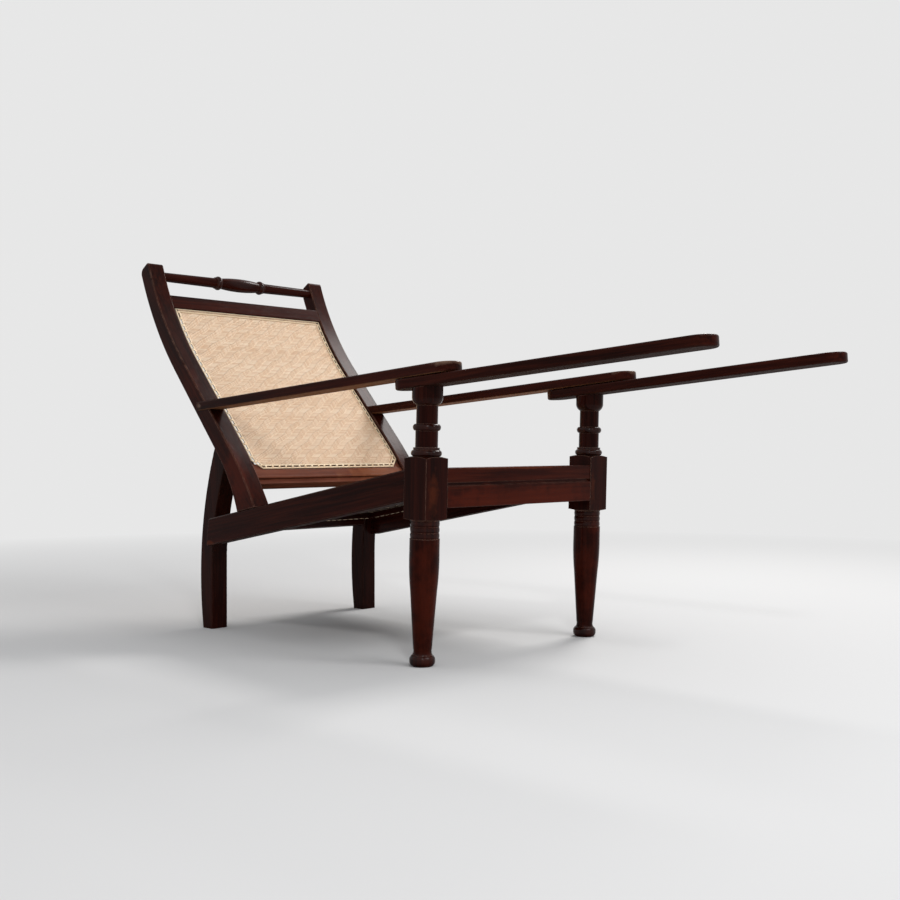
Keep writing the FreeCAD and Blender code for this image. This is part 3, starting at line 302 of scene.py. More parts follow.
def weave(strips, place, half, low, high, corner, pitch):
    """Two sets of strips over and under each other; place turns across, run and lift into a point."""
    columns = round(half * 2 / pitch[0])
    rows = round((high - low) / pitch[1])
    across_pitch = half * 2 / columns
    run_pitch = (high - low) / rows
    middles = [-half + (column + 0.5) * across_pitch for column in range(columns)]
    runs = [low + (row + 0.5) * run_pitch for row in range(rows)]
    for row in range(rows):
        run = runs[row] + strips.wander(STRIP_WANDER)
        reach = half - max(0, corner - (run - low))
        spots = [(-reach, 0)]
        for column, across in enumerate(middles):
            if abs(across) <= reach and changes(column, row, 1, 0):
                spots.append((across, WEAVE_LIFT if is_over(column, row) else -WEAVE_LIFT))
        spots.append((reach, 0))
        centres = [place(across, run, lift) for across, lift in spots]
        face = place(0, run, 1) - place(0, run, 0)
        strips.lay(centres, face, run_pitch * STRIP_WIDTH_SHARE)
    for column in range(columns):
        across = middles[column] + strips.wander(STRIP_WANDER)
        start = low + max(0, corner - (half - abs(across)))
        spots = [(start, 0)]
        for row, run in enumerate(runs):
            if run >= start and changes(column, row, 0, 1):
                spots.append((run, -WEAVE_LIFT if is_over(column, row) else WEAVE_LIFT))
        spots.append((high, 0))
        centres = [place(across, run, lift) for run, lift in spots]
        # Painted shade: lengthwise strips are darker than crosswise ones
        shade = LENGTHWISE_PAINTED_SHADE + strips.random.random() * (1 - LENGTHWISE_PAINTED_SHADE)
        strips.lay(centres, None, across_pitch * STRIP_WIDTH_SHARE, shade)


def inset(corners, distance):
    """The corners of a convex outline, listed anticlockwise, moved in by a distance."""
    result = []
    for number, corner in enumerate(corners):
        before = Vector(corners[number - 1])
        here = Vector(corner)
        after = Vector(corners[(number + 1) % len(corners)])
        arriving = (here - before).normalized()
        leaving = (after - here).normalized()
        normal_before = Vector((-arriving.y, arriving.x))
        normal_after = Vector((-leaving.y, leaving.x))
        step = distance / (1 + normal_before.dot(normal_after))
        result.append(here + (normal_before + normal_after) * step)
    return result


def sides_of(path):
    """Start and end of each side of a closed path."""
    return zip(path, path[1:] + path[:1])


def flat_strip(strips, place, start, end, width, lift):
    """A strip laid on the face of the weave from one across-and-run point to another."""
    length = (end - start).length
    steps = max(1, round(length / BINDER_STEP))
    side = Vector((-(end - start).y, (end - start).x)).normalized()
    centres = []
    sides = []
    ups = []
    for step in range(steps + 1):
        spot = start + (end - start) * (step / steps)
        centre = place(spot.x, spot.y, lift)
        beside = place(spot.x + side.x * PROBE, spot.y + side.y * PROBE, lift)
        above = place(spot.x, spot.y, lift + PROBE)
        centres.append(centre)
        sides.append((beside - centre).normalized())
        ups.append((above - centre).normalized())
    strips.add(centres, sides, ups, width, BINDER_THICKNESS)


def edging(strips, place, corners, plain_sides=()):
    """Two binder strips round the weave with a row of loops over them, but none on the plain sides."""
    for distance in (OUTER_BINDER_INSET, INNER_BINDER_INSET):
        for start, end in sides_of(inset(corners, distance)):
            overrun = (end - start).normalized() * BINDER_WIDTH * BINDER_OVERRUN_SHARE
            flat_strip(strips, place, start - overrun, end + overrun, BINDER_WIDTH, BINDER_LIFT)
    outer = inset(corners, LOOP_START_INSET)
    inner = inset(corners, LOOP_END_INSET)
    for number, (start, end) in enumerate(sides_of(outer)):
        if number in plain_sides:
            continue
        along = (end - start).normalized()
        inward = inner[number] - start
        inward = inward - along * inward.dot(along)
        count = max(1, round((end - start).length / LOOP_PITCH))
        for loop in range(count):
            spot = start + (end - start) * ((loop + 0.5) / count)
            spot = spot + along * strips.wander(LOOP_WANDER)
            flat_strip(strips, place, spot, spot + inward, LOOP_WIDTH, BINDER_LIFT + LOOP_LIFT)


def stitches(strips, place, corners):
    """Loops on the far side of the ledges, each from one hole to the next."""
    for start, end in sides_of(inset(corners, HOLE_INSET)):
        along = (end - start).normalized()
        count = max(1, round((end - start).length / LOOP_PITCH))
        pitch = (end - start).length / count
        half = along * (pitch * STITCH_SHARE / 2)
        for hole in range(1, count):
            spot = start + along * (pitch * hole)
            flat_strip(strips, place, spot - half, spot + half, STITCH_WIDTH, STITCH_LIFT)


# Shader nodes. A Mix node has several sockets of the same name, so those of its colours go by number.

MIX_FIRST = 6
MIX_SECOND = 7
MIX_RESULT = 2
DOWN = (0, 0, -1)
ACROSS = (1, 0, 0)


class Graph:
    """A short way to write shader nodes: most calls make some and return the last one or its output."""

    def __init__(self, tree):
        self.tree = tree
        tree.nodes.clear()

    def add(self, kind, inputs=None, **settings):
        node = self.tree.nodes.new(kind)
        for key, value in settings.items():
            setattr(node, key, value)
        for key, value in (inputs or {}).items():
            self.feed(node.inputs[key], value)
        return node

    def feed(self, socket, value):
        if isinstance(value, bpy.types.Node):
            value = value.outputs[0]
        if isinstance(value, bpy.types.NodeSocket):
            self.tree.links.new(value, socket)
        else:
            socket.default_value = value

    def math(self, operation, one, two, clamp=False):
        return self.add("ShaderNodeMath", {0: one, 1: two}, operation=operation, use_clamp=clamp)

    def vector(self, operation, one, two=(0, 0, 0)):
        return self.add("ShaderNodeVectorMath", {0: one, 1: two}, operation=operation)

    def dot(self, one, two):
        return self.vector("DOT_PRODUCT", one, two).outputs["Value"]

    def length(self, vector):
        return self.vector("LENGTH", vector).outputs["Value"]

    def here(self):
        """A point of the object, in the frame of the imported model."""
        return self.add("ShaderNodeTexCoord").outputs["Object"]

    def away(self, where, place, reach):
        """How far a point is from a place, where one is the reach, which has a size each way."""
        return self.length(self.vector("DIVIDE", self.vector("SUBTRACT", where, place), reach))

    def below(self, low, high):
        """One on faces that look down, and zero on faces that look up or sideways."""
        facing = self.add("ShaderNodeNewGeometry").outputs["Normal"]
        return self.span(self.dot(facing, DOWN), low, high)

    def noise(self, where, scale, detail, rough=0.5, twist=0.0):
        inputs = {"Vector": where, "Scale": scale, "Detail": detail}
        inputs.update({"Roughness": rough, "Distortion": twist})
        return self.add("ShaderNodeTexNoise", inputs).outputs["Fac"]

    def grain(self, space, stretch, detail, rough=0.5, twist=0.0):
        """Noise with a scale of its own each way; the first is along the grain."""
        return self.noise(self.vector("MULTIPLY", space, stretch), 1.0, detail, rough, twist)

    def span(self, value, low, high, to_low=0.0, to_high=1.0):
        """The value's place between low and high, as a number from to_low to to_high."""
        inputs = {"Value": value, "From Min": low, "From Max": high, "To Min": to_low, "To Max": to_high}
        return self.add("ShaderNodeMapRange", inputs)

    def mix(self, share, one, two):
        node = self.add("ShaderNodeMix", {"Factor": share}, data_type="RGBA")
        self.feed(node.inputs[MIX_FIRST], one)
        self.feed(node.inputs[MIX_SECOND], two)
        return node.outputs[MIX_RESULT]

    def bump(self, height, strength, distance):
        return self.add("ShaderNodeBump", {"Height": height, "Strength": strength, "Distance": distance})

    def surface(self, shader, kind="ShaderNodeOutputMaterial"):
        self.add(kind, {"Surface": shader})


def new_material(name):
    material = bpy.data.materials.new(name)
    material.use_nodes = True
    return material, Graph(material.node_tree)


# Grain that lies at least this much across the chair is turned by the upright, and other grain by the
# width of the chair. Each seed moves the noise this far each way.

MOSTLY_ACROSS_SHARE = 0.5
SEED_STEPS = (1.7, 0.9, 2.3)


def grain_space(graph, axis, seed):
    """Object coordinates, and the same turned so that the first one runs along the grain."""
    axis = Vector(axis).normalized()
    helper = Vector((1, 0, 0)) if abs(axis.x) < MOSTLY_ACROSS_SHARE else Vector((0, 0, 1))
    side = axis.cross(helper).normalized()
    other = axis.cross(side)
    where = graph.here()
    parts = {"X": graph.dot(where, axis), "Y": graph.dot(where, side), "Z": graph.dot(where, other)}
    turned = graph.add("ShaderNodeCombineXYZ", parts)
    return where, graph.vector("ADD", turned, tuple(seed * step for step in SEED_STEPS))


# Edges: how well the rounded normal is sampled, and its dot product with the true one
# where an edge starts and where it is fully an edge

EDGE_SAMPLES = 3
EDGE_SPAN = (0.999, 0.86)


def edge_mask(graph, radius):
    """The normal with its edges rounded, and a mask: one along the edges of a solid, zero on its faces."""
    bevel = graph.add("ShaderNodeBevel", {"Radius": radius}, samples=EDGE_SAMPLES)
    flat = graph.add("ShaderNodeNewGeometry").outputs["Normal"]
    return bevel, graph.span(graph.dot(bevel, flat), *EDGE_SPAN)


# Colours of the wood; the tones go from dark to light

DEEP_BROWN = (0.004, 0.0014, 0.0010, 1)
# Pale colour of the edges: worn polish and painted highlight along the arrises
WORN_EDGE_AND_HIGHLIGHT = (0.28, 0.155, 0.115, 1)
# Paler colour at the ends of the arms
PALE_TIP = (0.21, 0.130, 0.090, 1)
BARE_WOOD = (0.205, 0.092, 0.044, 1)
# Painted shade for wooden faces that look down
UNDERSIDE_SHADE = (0.018, 0.0060, 0.0036, 1)
ORANGE = (0.110, 0.022, 0.0070, 1)
# Bright orange: partly the wood's own colour, partly painted sheen
BRIGHT_ORANGE_AND_SHEEN = (0.26, 0.090, 0.040, 1)
RUST = (0.078, 0.0100, 0.0034, 1)
RED_TONES = ((0.011, 0.0018, 0.0010, 1), (0.031, 0.0042, 0.0020, 1), (0.062, 0.0110, 0.0050, 1))
POST_TONES = ((0.008, 0.0014, 0.0008, 1), (0.022, 0.0030, 0.0016, 1), (0.045, 0.0080, 0.0040, 1))
DEEP_TONES = ((0.009, 0.0018, 0.0011, 1), (0.023, 0.0036, 0.0021, 1), (0.045, 0.0090, 0.0048, 1))
RAIL_TONES = ((0.015, 0.0022, 0.0012, 1), (0.038, 0.0050, 0.0022, 1), (0.070, 0.0120, 0.0048, 1))
# Tones of the lower back rail, lighter than the rest: partly its own colour, partly painted sheen
BACK_RAIL_TONES_AND_SHEEN = ((0.074, 0.0210, 0.0120, 1), (0.150, 0.0460, 0.0270, 1), (0.230, 0.0780, 0.0450, 1))
DOWEL_TONES = ((0.12, 0.06, 0.03, 1), (0.20, 0.11, 0.06, 1), (0.30, 0.18, 0.10, 1))

# Noise along the grain: its scale each way, then its detail, roughness and twist

BEND_NOISE = ((2.0, 9.0, 9.0), 2.0)
FIGURE_NOISE = ((1.6, 26.0, 26.0), 4.0, 0.55, 0.4)
STREAK_NOISE = ((5.0, 150.0, 150.0), 5.0, 0.6)
PORE_NOISE = ((45.0, 1100.0, 1100.0), 2.0)

# Noise that is alike each way: its scale, detail and roughness

PATCH_NOISE = (26.0, 4.0, 0.6)
EDGE_BREAKUP_NOISE = (60.0, 3.0, 0.65)

# Spans: the levels that start and end a change, then what it starts and ends at, or zero and one

FIGURE_SPAN = (0.36, 0.66)
PALE_STREAK_SPAN = (0.44, 0.72, 0.0, 0.5)
DARK_STREAK_SPAN = (0.46, 0.30, 0.0, 0.45)
PORE_SPAN = (0.60, 0.72)
PATCH_RAGGED_SPAN = (0.3, 0.7, -0.45, 0.45)
PATCH_EDGE_SPAN = (1.05, 0.45)
UNDERSIDE_SPAN = (0.60, 0.95)
UNDERSIDE_STREAK_SPAN = (0.25, 0.7, 1.0, 0.6)
EDGE_BREAKUP_SPAN = (0.32, 0.62, 0.25, 1.0)
GLINT_SPAN = (1.0, 0.6)
POLISH_SPAN = (0.3, 0.7)

# How strongly each thing shows in the wood's colour, roughness and relief

BEND_STRENGTH = 0.035
PORE_DARKNESS = 0.5
PORE_ROUGHNESS = 0.12
UNDERSIDE_ROUGHNESS = 0.45
STREAK_RELIEF = 0.4
PORE_RELIEF = -0.8
WOOD_BUMP_STRENGTH = 0.12
WOOD_BUMP_DEPTH = 0.0005
WOOD_IOR = 1.5
WOOD_SPECULAR = 0.042
GLINT_ROUGHNESS = 0.2

# Parts of a finish. Polish is the roughness where the figure is darkest and where it is palest, edge wear
# and highlight makes the edges paler with wear and painted highlight, a patch is a worn, paler or redder
# place, or partly painted sheen, and a glint is one where the polish is brightest.

Polish = namedtuple("Polish", "dark pale")
Wear = namedtuple("Wear", "strength radius")
Patch = namedtuple("Patch", "place reach tint strength")
Glint = namedtuple("Glint", "place reach strength")
Finish = namedtuple("Finish", "grain tones polish wear under patches glints")


def patched(graph, where, colour, patches):
    """The colour with each patch laid over it, ragged at its edge."""
    ragged = graph.span(graph.noise(where, *PATCH_NOISE), *PATCH_RAGGED_SPAN)
    for patch in patches:
        edge = graph.math("ADD", graph.away(where, patch.place, patch.reach), ragged)
        inside = graph.math("MULTIPLY", graph.span(edge, *PATCH_EDGE_SPAN), patch.strength)
        colour = graph.mix(inside, colour, patch.tint)
    return colour


def glinting(graph, where, glints):
    """How much clear coat each glint adds."""
    coat = 0.0
    for glint in glints:
        away = graph.away(where, glint.place, glint.reach)
        coat = graph.math("ADD", coat, graph.span(away, *GLINT_SPAN, 0.0, glint.strength), True)
    return coat


def wood(name, seed, finish):
    """Dark polished hardwood with its grain along an axis, lighter at the edges from wear and painted
    highlight.
    """
    dark, middle, light = finish.tones
    material, graph = new_material(name)
    where, space = grain_space(graph, finish.grain, seed)
    bend = graph.math("MULTIPLY", graph.grain(space, *BEND_NOISE), BEND_STRENGTH)
    space = graph.vector("ADD", space, graph.add("ShaderNodeCombineXYZ", {"Y": bend}))
    figure = graph.grain(space, *FIGURE_NOISE)
    streak = graph.grain(space, *STREAK_NOISE)
    pore = graph.span(graph.grain(space, *PORE_NOISE), *PORE_SPAN)
    below = graph.below(*UNDERSIDE_SPAN)
    bevel, edge = edge_mask(graph, finish.wear.radius)
    edge_breakup = graph.span(graph.noise(where, *EDGE_BREAKUP_NOISE), *EDGE_BREAKUP_SPAN)
    worn_and_highlit = graph.math("MULTIPLY", graph.math("MULTIPLY", edge, edge_breakup), finish.wear.strength, True)

    colour = graph.mix(graph.span(figure, *FIGURE_SPAN), dark, middle)
    colour = graph.mix(graph.span(streak, *PALE_STREAK_SPAN), colour, light)
    colour = graph.mix(graph.span(streak, *DARK_STREAK_SPAN), colour, dark)
    colour = patched(graph, where, colour, finish.patches)
    # Faces that look down take the finish's underside colour: bare wood on the arms, painted shade on the
    # other pieces
    shaded_or_bare_underside = graph.math("MULTIPLY", below, graph.span(streak, *UNDERSIDE_STREAK_SPAN))
    colour = graph.mix(shaded_or_bare_underside, colour, finish.under)
    colour = graph.mix(graph.math("MULTIPLY", pore, PORE_DARKNESS), colour, DEEP_BROWN)
    # Pale edges, partly wear and partly painted highlight
    colour = graph.mix(worn_and_highlit, colour, WORN_EDGE_AND_HIGHLIGHT)

    rough = graph.span(figure, *POLISH_SPAN, *finish.polish)
    rough = graph.math("ADD", rough, graph.math("MULTIPLY", pore, PORE_ROUGHNESS))
    rough = graph.math("ADD", rough, graph.math("MULTIPLY", below, UNDERSIDE_ROUGHNESS))

    streak_height = graph.math("MULTIPLY", streak, STREAK_RELIEF)
    pore_height = graph.math("MULTIPLY", pore, PORE_RELIEF)
    height = graph.math("ADD", streak_height, pore_height)
    bump = graph.bump(height, WOOD_BUMP_STRENGTH, WOOD_BUMP_DEPTH)
    graph.feed(bump.inputs["Normal"], bevel)

    graph.surface(graph.add("ShaderNodeBsdfPrincipled", {
        "Base Color": colour,
        "Roughness": rough,
        "Normal": bump,
        "IOR": WOOD_IOR,
        "Specular IOR Level": WOOD_SPECULAR,
        "Coat Weight": glinting(graph, where, finish.glints),
        "Coat Roughness": GLINT_ROUGHNESS,
    }))
    return material


# Cane: its straw tones from pale to dark, the painted shade under the seat, and how its noise shows

STRAW_TONES = ((1.0, 0.80, 0.60, 1), (0.83, 0.57, 0.37, 1), (0.45, 0.27, 0.14, 1))
BINDER_TONES = ((0.96, 0.79, 0.57, 1), (0.82, 0.61, 0.39, 1), (0.45, 0.27, 0.14, 1))
SEAT_UNDERSIDE_SHADE = (0.030, 0.017, 0.011, 1)
FIBRE_NOISE = (600.0, 2.0)
CLOUD_NOISE = (14.0, 4.0, 0.6)
SPOT_NOISE = (130.0, 3.0, 0.7)
CLOUD_STRENGTH = 0.25
STRIP_SPAN = (0.3, 1.1)
FIBRE_SPAN = (0.5, 0.75, 0.0, 0.35)
SPOT_SPAN = (0.64, 0.75, 0.0, 0.5)
SEAT_UNDERSIDE_SHADE_SPAN = (0.05, 0.35)
CANE_ROUGHNESS = 0.42
BINDER_ROUGHNESS = 0.36
CANE_BUMP_STRENGTH = 0.25
CANE_BUMP_DEPTH = 0.0003
CANE_IOR = 1.45
CANE_SPECULAR = 0.25


def cane(name, tones, rough, under=None):
    """Split cane: pale, with a shade of its own to each strip, fine fibres and darker spots."""
    pale, dark, deep = tones
    material, graph = new_material(name)
    where = graph.here()
    shade = graph.add("ShaderNodeAttribute", attribute_name="shade").outputs["Fac"]
    fibre = graph.noise(where, *FIBRE_NOISE)
    cloud = graph.math("MULTIPLY", graph.noise(where, *CLOUD_NOISE), CLOUD_STRENGTH)
    colour = graph.mix(graph.span(graph.math("ADD", shade, cloud), *STRIP_SPAN), pale, dark)
    colour = graph.mix(graph.span(fibre, *FIBRE_SPAN), colour, dark)
    colour = graph.mix(graph.span(graph.noise(where, *SPOT_NOISE), *SPOT_SPAN), colour, deep)
    # Faces that look down take painted shade
    if under is not None:
        colour = graph.mix(graph.below(*SEAT_UNDERSIDE_SHADE_SPAN), colour, under)
    graph.surface(graph.add("ShaderNodeBsdfPrincipled", {
        "Base Color": colour,
        "Roughness": rough,
        "Normal": graph.bump(fibre, CANE_BUMP_STRENGTH, CANE_BUMP_DEPTH),
        "IOR": CANE_IOR,
        "Specular IOR Level": CANE_SPECULAR,
    }))
    return material


# Brass: its colours, and how the tarnish shows

BRASS = (0.22, 0.135, 0.055, 1)
TARNISHED_BRASS = (0.07, 0.045, 0.022, 1)
RUBBED_BRASS = (0.36, 0.24, 0.11, 1)
TARNISH_NOISE = (420.0, 4.0, 0.6)
TARNISH_SPAN = (0.4, 0.65)
BRASS_ROUGHNESS_SPAN = (0.35, 0.65, 0.28, 0.55)
BRASS_EDGE_RADIUS = 0.0006
BRASS_EDGE_STRENGTH = 0.5
BRASS_BUMP_STRENGTH = 0.2
BRASS_BUMP_DEPTH = 0.0002


def brass(name):
    """Aged brass, tarnished in spots and rubbed bright along its edges."""
    material, graph = new_material(name)
    tarnish = graph.noise(graph.here(), *TARNISH_NOISE)
    bevel, edge = edge_mask(graph, BRASS_EDGE_RADIUS)
    colour = graph.mix(graph.span(tarnish, *TARNISH_SPAN), BRASS, TARNISHED_BRASS)
    colour = graph.mix(graph.math("MULTIPLY", edge, BRASS_EDGE_STRENGTH), colour, RUBBED_BRASS)
    bump = graph.bump(tarnish, BRASS_BUMP_STRENGTH, BRASS_BUMP_DEPTH)
    graph.feed(bump.inputs["Normal"], bevel)
    graph.surface(graph.add("ShaderNodeBsdfPrincipled", {
        "Base Color": colour,
        "Roughness": graph.span(tarnish, *BRASS_ROUGHNESS_SPAN),
        "Metallic": 1.0,
        "Normal": bump,
    }))
    return material


# Finish of each kind of wooden piece. What isn't listed has its grain across the chair, deep tones,
# the plain polish, slight wear with painted highlight on its edges, and painted shade on its underside.

ARM_SLOPE = 0.0715
REAR_LEG_LEAN = 0.12
ARM_LINE = (0, 1, -ARM_SLOPE)
GRAINS = {
    "front_post": (0, 0, 1),
    "back_stile": (0, LEAN[0], LEAN[1]),
    "rear_leg": (0, REAR_LEG_LEAN, 1),
    "side_rail": (0, 1, -SEAT_SLOPE),
    "arm": ARM_LINE,
    "leg_rest": ARM_LINE,
    "leg_dowel": (0, 1, 0),
}

TONES = {
    "front_post": POST_TONES,
    "back_stile": RED_TONES,
    "side_rail": RED_TONES,
    "front_seat_rail": RAIL_TONES,
    "lower_back_rail": BACK_RAIL_TONES_AND_SHEEN,
    "upper_back_rail": RED_TONES,
    "crest_rail": RED_TONES,
    "arm": RED_TONES,
    "leg_rest": RED_TONES,
    "leg_dowel": DOWEL_TONES,
}

PLAIN_POLISH = Polish(0.26, 0.18)
TURNED_POLISH = Polish(0.15, 0.09)
POLISHES = {
    "front_post": TURNED_POLISH,
    "crest_rail": TURNED_POLISH,
}

# Edge wear with painted highlight: how strongly it shows, and the radius of the pale line along the edges
SLIGHT_WEAR_AND_HIGHLIGHT = Wear(0.6, 0.0016)
WEARS_AND_HIGHLIGHTS = {
    "back_stile": Wear(1.0, 0.0036),
    "front_post": Wear(0.7, 0.002),
    "arm": Wear(0.75, 0.002),
}

UNDERSIDES = {"arm": BARE_WOOD}

# Worn, paler and redder places of single pieces, and partly painted sheen on the lower back rail: where,
# how far each way, colour and strength

PATCHES = {
    "right_front_post": [
        Patch((-0.283, -0.206, 0.352), (0.018, 0.02, 0.050), ORANGE, 0.45),
        Patch((-0.276, -0.175, 0.15), (0.05, 0.05, 0.14), RUST, 0.42),
    ],
    "left_front_post": [
        Patch((0.252, -0.203, 0.352), (0.014, 0.02, 0.040), ORANGE, 0.4),
        Patch((0.276, -0.175, 0.17), (0.05, 0.05, 0.13), RUST, 0.36),
    ],
    "front_seat_rail": [
        Patch((0.02, -0.205, 0.338), (0.34, 0.04, 0.034), RUST, 0.55),
        Patch((-0.02, -0.205, 0.405), (0.24, 0.03, 0.004), ORANGE, 0.55),
    ],
    "right_back_stile": [
        Patch((-0.293, 0.43, 0.40), (0.02, 0.07, 0.09), RUST, 0.6),
        Patch((-0.293, 0.60, 0.66), (0.02, 0.05, 0.10), RUST, 0.3),
    ],
    "right_side_rail": [Patch((-0.292, 0.548, 0.214), (0.01, 0.022, 0.005), ORANGE, 0.6)],
    # Bright orange at the rail's right end: partly own colour, partly painted sheen
    "lower_back_rail": [Patch((0.15, 0.42, 0.385), (0.12, 0.05, 0.03), BRIGHT_ORANGE_AND_SHEEN, 0.6)],
    "right_arm": [
        Patch((-0.284, -0.247, 0.624), (0.05, 0.040, 0.014), PALE_TIP, 0.75),
        Patch((-0.305, 0.583, 0.551), (0.02, 0.016, 0.009), PALE_TIP, 0.45),
    ],
    "left_arm": [Patch((0.272, -0.290, 0.627), (0.05, 0.036, 0.013), PALE_TIP, 0.7)],
    "right_leg_rest": [Patch((-0.264, -0.11, 0.575), (0.05, 0.02, 0.02), BARE_WOOD, 0.35)],
    "left_leg_rest": [Patch((0.264, -0.07, 0.572), (0.05, 0.02, 0.02), BARE_WOOD, 0.35)],
}

# Glints on the foot and the rings of a front post: height, reach up and down, and strength

POST_CENTRE = 0.273
POST_RAKE = 0.0286
POST_REACH = 0.09
POST_RINGS = (
    (0.0165, 0.0115, 0.22),
    (0.2682, 0.0050, 0.15),
    (0.2805, 0.0050, 0.15),
    (0.2928, 0.0050, 0.15),
    (0.4385, 0.0080, 0.20),
    (0.4470, 0.0030, 0.20),
    (0.4905, 0.0070, 0.20),
    (0.5420, 0.0080, 0.08),
)


def post_glints(side):
    """Bright polish on the crests of a post's rings and on its foot; side is -1 or 1."""
    glints = []
    for height, reach, strength in POST_RINGS:
        place = (side * POST_CENTRE, -POST_FOOT - POST_RAKE * height, height)
        glints.append(Glint(place, (POST_REACH, POST_REACH, reach), strength))
    return glints


GLINTS = {
    "right_front_post": post_glints(-1),
    "left_front_post": post_glints(1),
    "crest_rail": [
        Glint((-0.0705, 0.82, 0.897), (0.009, 0.09, 0.09), 0.25),
        Glint((0.0705, 0.82, 0.897), (0.009, 0.09, 0.09), 0.25),
        Glint((0, 0.82, 0.905), (0.055, 0.09, 0.020), 0.2),
    ],
}

# Materials of the nodes that show; the cane has pieces of its own below

CANE_NODES = ("back_cane_panel", "back_cane_binder", "seat_cane_panel", "seat_cane_binder")
BRASS_KINDS = ("pivot_pin", "arm_screw")
FIRST_SEED = 2


def finish_of(name, kind):
    return Finish(
        grain=GRAINS.get(kind, ACROSS),
        tones=TONES.get(kind, DEEP_TONES),
        polish=POLISHES.get(kind, PLAIN_POLISH),
        wear=WEARS_AND_HIGHLIGHTS.get(kind, SLIGHT_WEAR_AND_HIGHLIGHT),
        under=UNDERSIDES.get(kind, UNDERSIDE_SHADE),
        patches=PATCHES.get(name, ()),
        glints=GLINTS.get(name, ()),
    )


for seed, name in enumerate(sorted(nodes), FIRST_SEED):
    if name in CANE_NODES:
        continue
    kind = name.removeprefix("left_").removeprefix("right_")
    if kind in BRASS_KINDS:
        material = brass("aged_brass_" + name)
    else:
        material = wood("hardwood_" + name, seed, finish_of(name, kind))
    for slot in nodes[name].material_slots:
        slot.material = material

cane_field = cane("woven_cane", STRAW_TONES, CANE_ROUGHNESS)
cane_seat = cane("seat_woven_cane", STRAW_TONES, CANE_ROUGHNESS, SEAT_UNDERSIDE_SHADE)
cane_binder = cane("binder_cane_strips", BINDER_TONES, BINDER_ROUGHNESS)

# Cane of the back: its two lower corners are cut off, and its top edge has no loops

back_low = run_at_height(BACK_LOW_HEIGHT)
back_high = run_at_height(BACK_HIGH_HEIGHT)
back_left = -BACK_HALF_WIDTH + BACK_RIGHT_MARGIN
back_corners = [
    (back_left + CORNER_CUT, back_low),
    (BACK_HALF_WIDTH - CORNER_CUT, back_low),
    (BACK_HALF_WIDTH, back_low + CORNER_CUT),
    (BACK_HALF_WIDTH, back_high),
    (back_left, back_high),
    (back_left, back_low + CORNER_CUT),
]
BACK_TOP_SIDE = 3

field = Strips(BACK_WEAVE_SEED)
weave_half = BACK_HALF_WIDTH - BACK_RIGHT_MARGIN / 2 - WEAVE_INSET
weave_low = back_low + WEAVE_INSET
weave_high = back_high - TOP_WEAVE_INSET
weave(field, back_weave_point, weave_half, weave_low, weave_high, CORNER_CUT - CORNER_SLACK, BACK_PITCH)
back_weave = field.build("back_cane_weave", cane_field)
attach(back_weave, "chair_frame")
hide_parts("back_cane_panel")

trim = Strips(BACK_EDGING_SEED)
edging(trim, back_point, back_corners, (BACK_TOP_SIDE,))
stitches(trim, back_point, back_corners)
back_edging = trim.build("back_cane_edging", cane_binder)
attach(back_edging, "chair_frame")
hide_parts("back_cane_binder")

# Cane of the seat, a plain rectangle

seat_length = (SEAT_REAR - SEAT_FRONT) / math.cos(SEAT_ANGLE)
seat_corners = [
    (-SEAT_HALF_WIDTH, 0),
    (SEAT_HALF_WIDTH, 0),
    (SEAT_HALF_WIDTH, seat_length),
    (-SEAT_HALF_WIDTH, seat_length),
]

field = Strips(SEAT_WEAVE_SEED)
weave_half = SEAT_HALF_WIDTH - WEAVE_INSET
weave(field, seat_weave_point, weave_half, WEAVE_INSET, seat_length - WEAVE_INSET, 0, SEAT_PITCH)
seat_weave = field.build("seat_cane_weave", cane_seat)
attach(seat_weave, "chair_frame")
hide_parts("seat_cane_panel")

trim = Strips(SEAT_EDGING_SEED)
edging(trim, seat_point, seat_corners)
stitches(trim, seat_point, seat_corners)
seat_edging = trim.build("seat_cane_edging", cane_binder)
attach(seat_edging, "chair_frame")
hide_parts("seat_cane_binder")

# Camera: its place and angles are those of the photograph

HEADING = math.radians(46.378)
PITCH = math.radians(-0.154)
CAMERA_PLACE = (-2.0368, -1.9307, 0.450)
LENS_MILLIMETRES = 48.54
SENSOR_MILLIMETRES = 36

camera_data = bpy.data.cameras.new("camera")
camera_data.lens = LENS_MILLIMETRES
camera_data.sensor_width = SENSOR_MILLIMETRES
camera = bpy.data.objects.new("camera", camera_data)
camera.location = CAMERA_PLACE
camera.rotation_euler = (math.radians(90) + PITCH, 0, -HEADING)
bpy.context.scene.collection.objects.link(camera)
bpy.context.scene.camera = camera

# Floor, background and lamps. Each lamp shines from its place towards its target.

BACKDROP = (0.80, 0.80, 0.80, 1)
FLOOR_COLOUR = (0.72, 0.72, 0.72, 1)
FLOOR_RADIUS = 40.0
FLOOR_SIDES = 96
FLOOR_FADE = (1.5, 3.8)
SOFT_SKY = (0.97, 0.98, 1.0, 1)
SOFT_SKY_STRENGTH = 0.48
WHITE = (1, 1, 1)
WARM_WHITE = (1.0, 0.98, 0.96)
LAMPS = {
    "window_light": {
        "place": (2.6, 0.5, 3.0),
        "target": (0.1, 0.3, 0.5),
        "size": (1.2, 1.2),
        "watts": 72,
        "colour": WARM_WHITE,
    },
    "front_light": {
        "place": (0.3, -2.7, 2.6),
        "target": (0, 0.3, 0.5),
        "size": (1.8, 1.2),
        "watts": 42,
        "colour": WHITE,
    },
    "room_light": {
        "place": (-1.9, -2.2, 2.5),
        "target": (0, 0, 0.4),
        "size": (0.34, 0.34),
        "watts": 22,
        "colour": WHITE,
    },
}


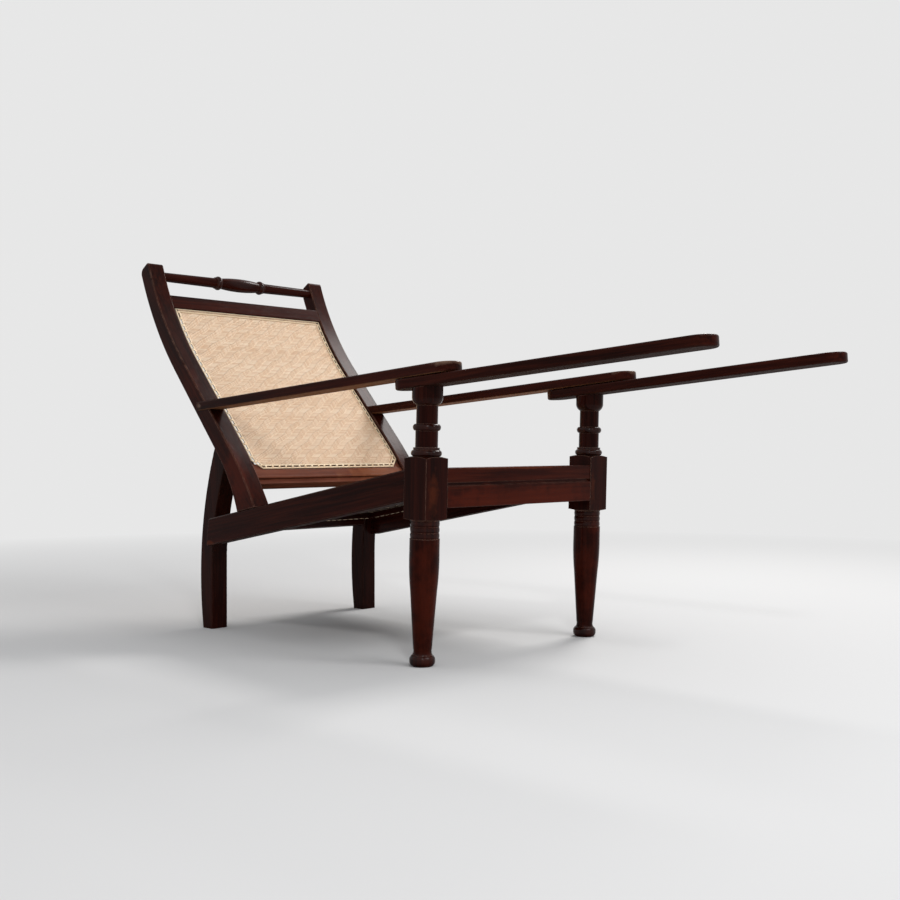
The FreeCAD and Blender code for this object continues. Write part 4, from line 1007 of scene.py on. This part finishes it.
def looked_at(graph):
    """One for rays that show the background, straight or in gloss and glass, and zero for its light."""
    ray = graph.add("ShaderNodeLightPath")
    looked = graph.math("ADD", ray.outputs["Is Camera Ray"], ray.outputs["Is Glossy Ray"])
    return graph.math("ADD", looked, ray.outputs["Is Transmission Ray"], True)


def pale_floor():
    """Plain pale floor that melts into the background far from the chair."""
    material, graph = new_material("pale_floor")
    far = graph.span(graph.length(graph.here()), *FLOOR_FADE)
    melted = graph.math("MULTIPLY", far, looked_at(graph))
    plain = graph.add("ShaderNodeBsdfDiffuse", {"Color": FLOOR_COLOUR})
    glow = graph.add("ShaderNodeEmission", {"Color": BACKDROP, "Strength": 1.0})
    graph.surface(graph.add("ShaderNodeMixShader", {0: melted, 1: plain, 2: glow}))
    return material


def studio_world():
    """A soft pale sky that lights the chair, behind a plain background."""
    world = bpy.data.worlds.new("studio")
    world.use_nodes = True
    graph = Graph(world.node_tree)
    soft = graph.add("ShaderNodeBackground", {"Color": SOFT_SKY, "Strength": SOFT_SKY_STRENGTH})
    shown = graph.add("ShaderNodeBackground", {"Color": BACKDROP, "Strength": 1.0})
    blend = graph.add("ShaderNodeMixShader", {0: looked_at(graph), 1: soft, 2: shown})
    graph.surface(blend, "ShaderNodeOutputWorld")
    return world


def soft_light(name, place, target, size, watts, colour):
    data = bpy.data.lights.new(name, "AREA")
    data.shape = "RECTANGLE"
    data.size, data.size_y = size
    data.energy = watts
    data.color = colour
    lamp = bpy.data.objects.new(name, data)
    lamp.location = place
    lamp.rotation_euler = (Vector(target) - Vector(place)).to_track_quat("-Z", "Y").to_euler()
    bpy.context.scene.collection.objects.link(lamp)


rim = []
for side in range(FLOOR_SIDES):
    turn = 2 * math.pi * side / FLOOR_SIDES
    rim.append((FLOOR_RADIUS * math.cos(turn), FLOOR_RADIUS * math.sin(turn), 0))
floor = new_object("floor", rim, [tuple(range(FLOOR_SIDES))], smooth=False)
floor.data.materials.append(pale_floor())

bpy.context.scene.world = studio_world()
for name, lamp in LAMPS.items():
    soft_light(name, **lamp)

bpy.context.scene.view_settings.view_transform = "Standard"
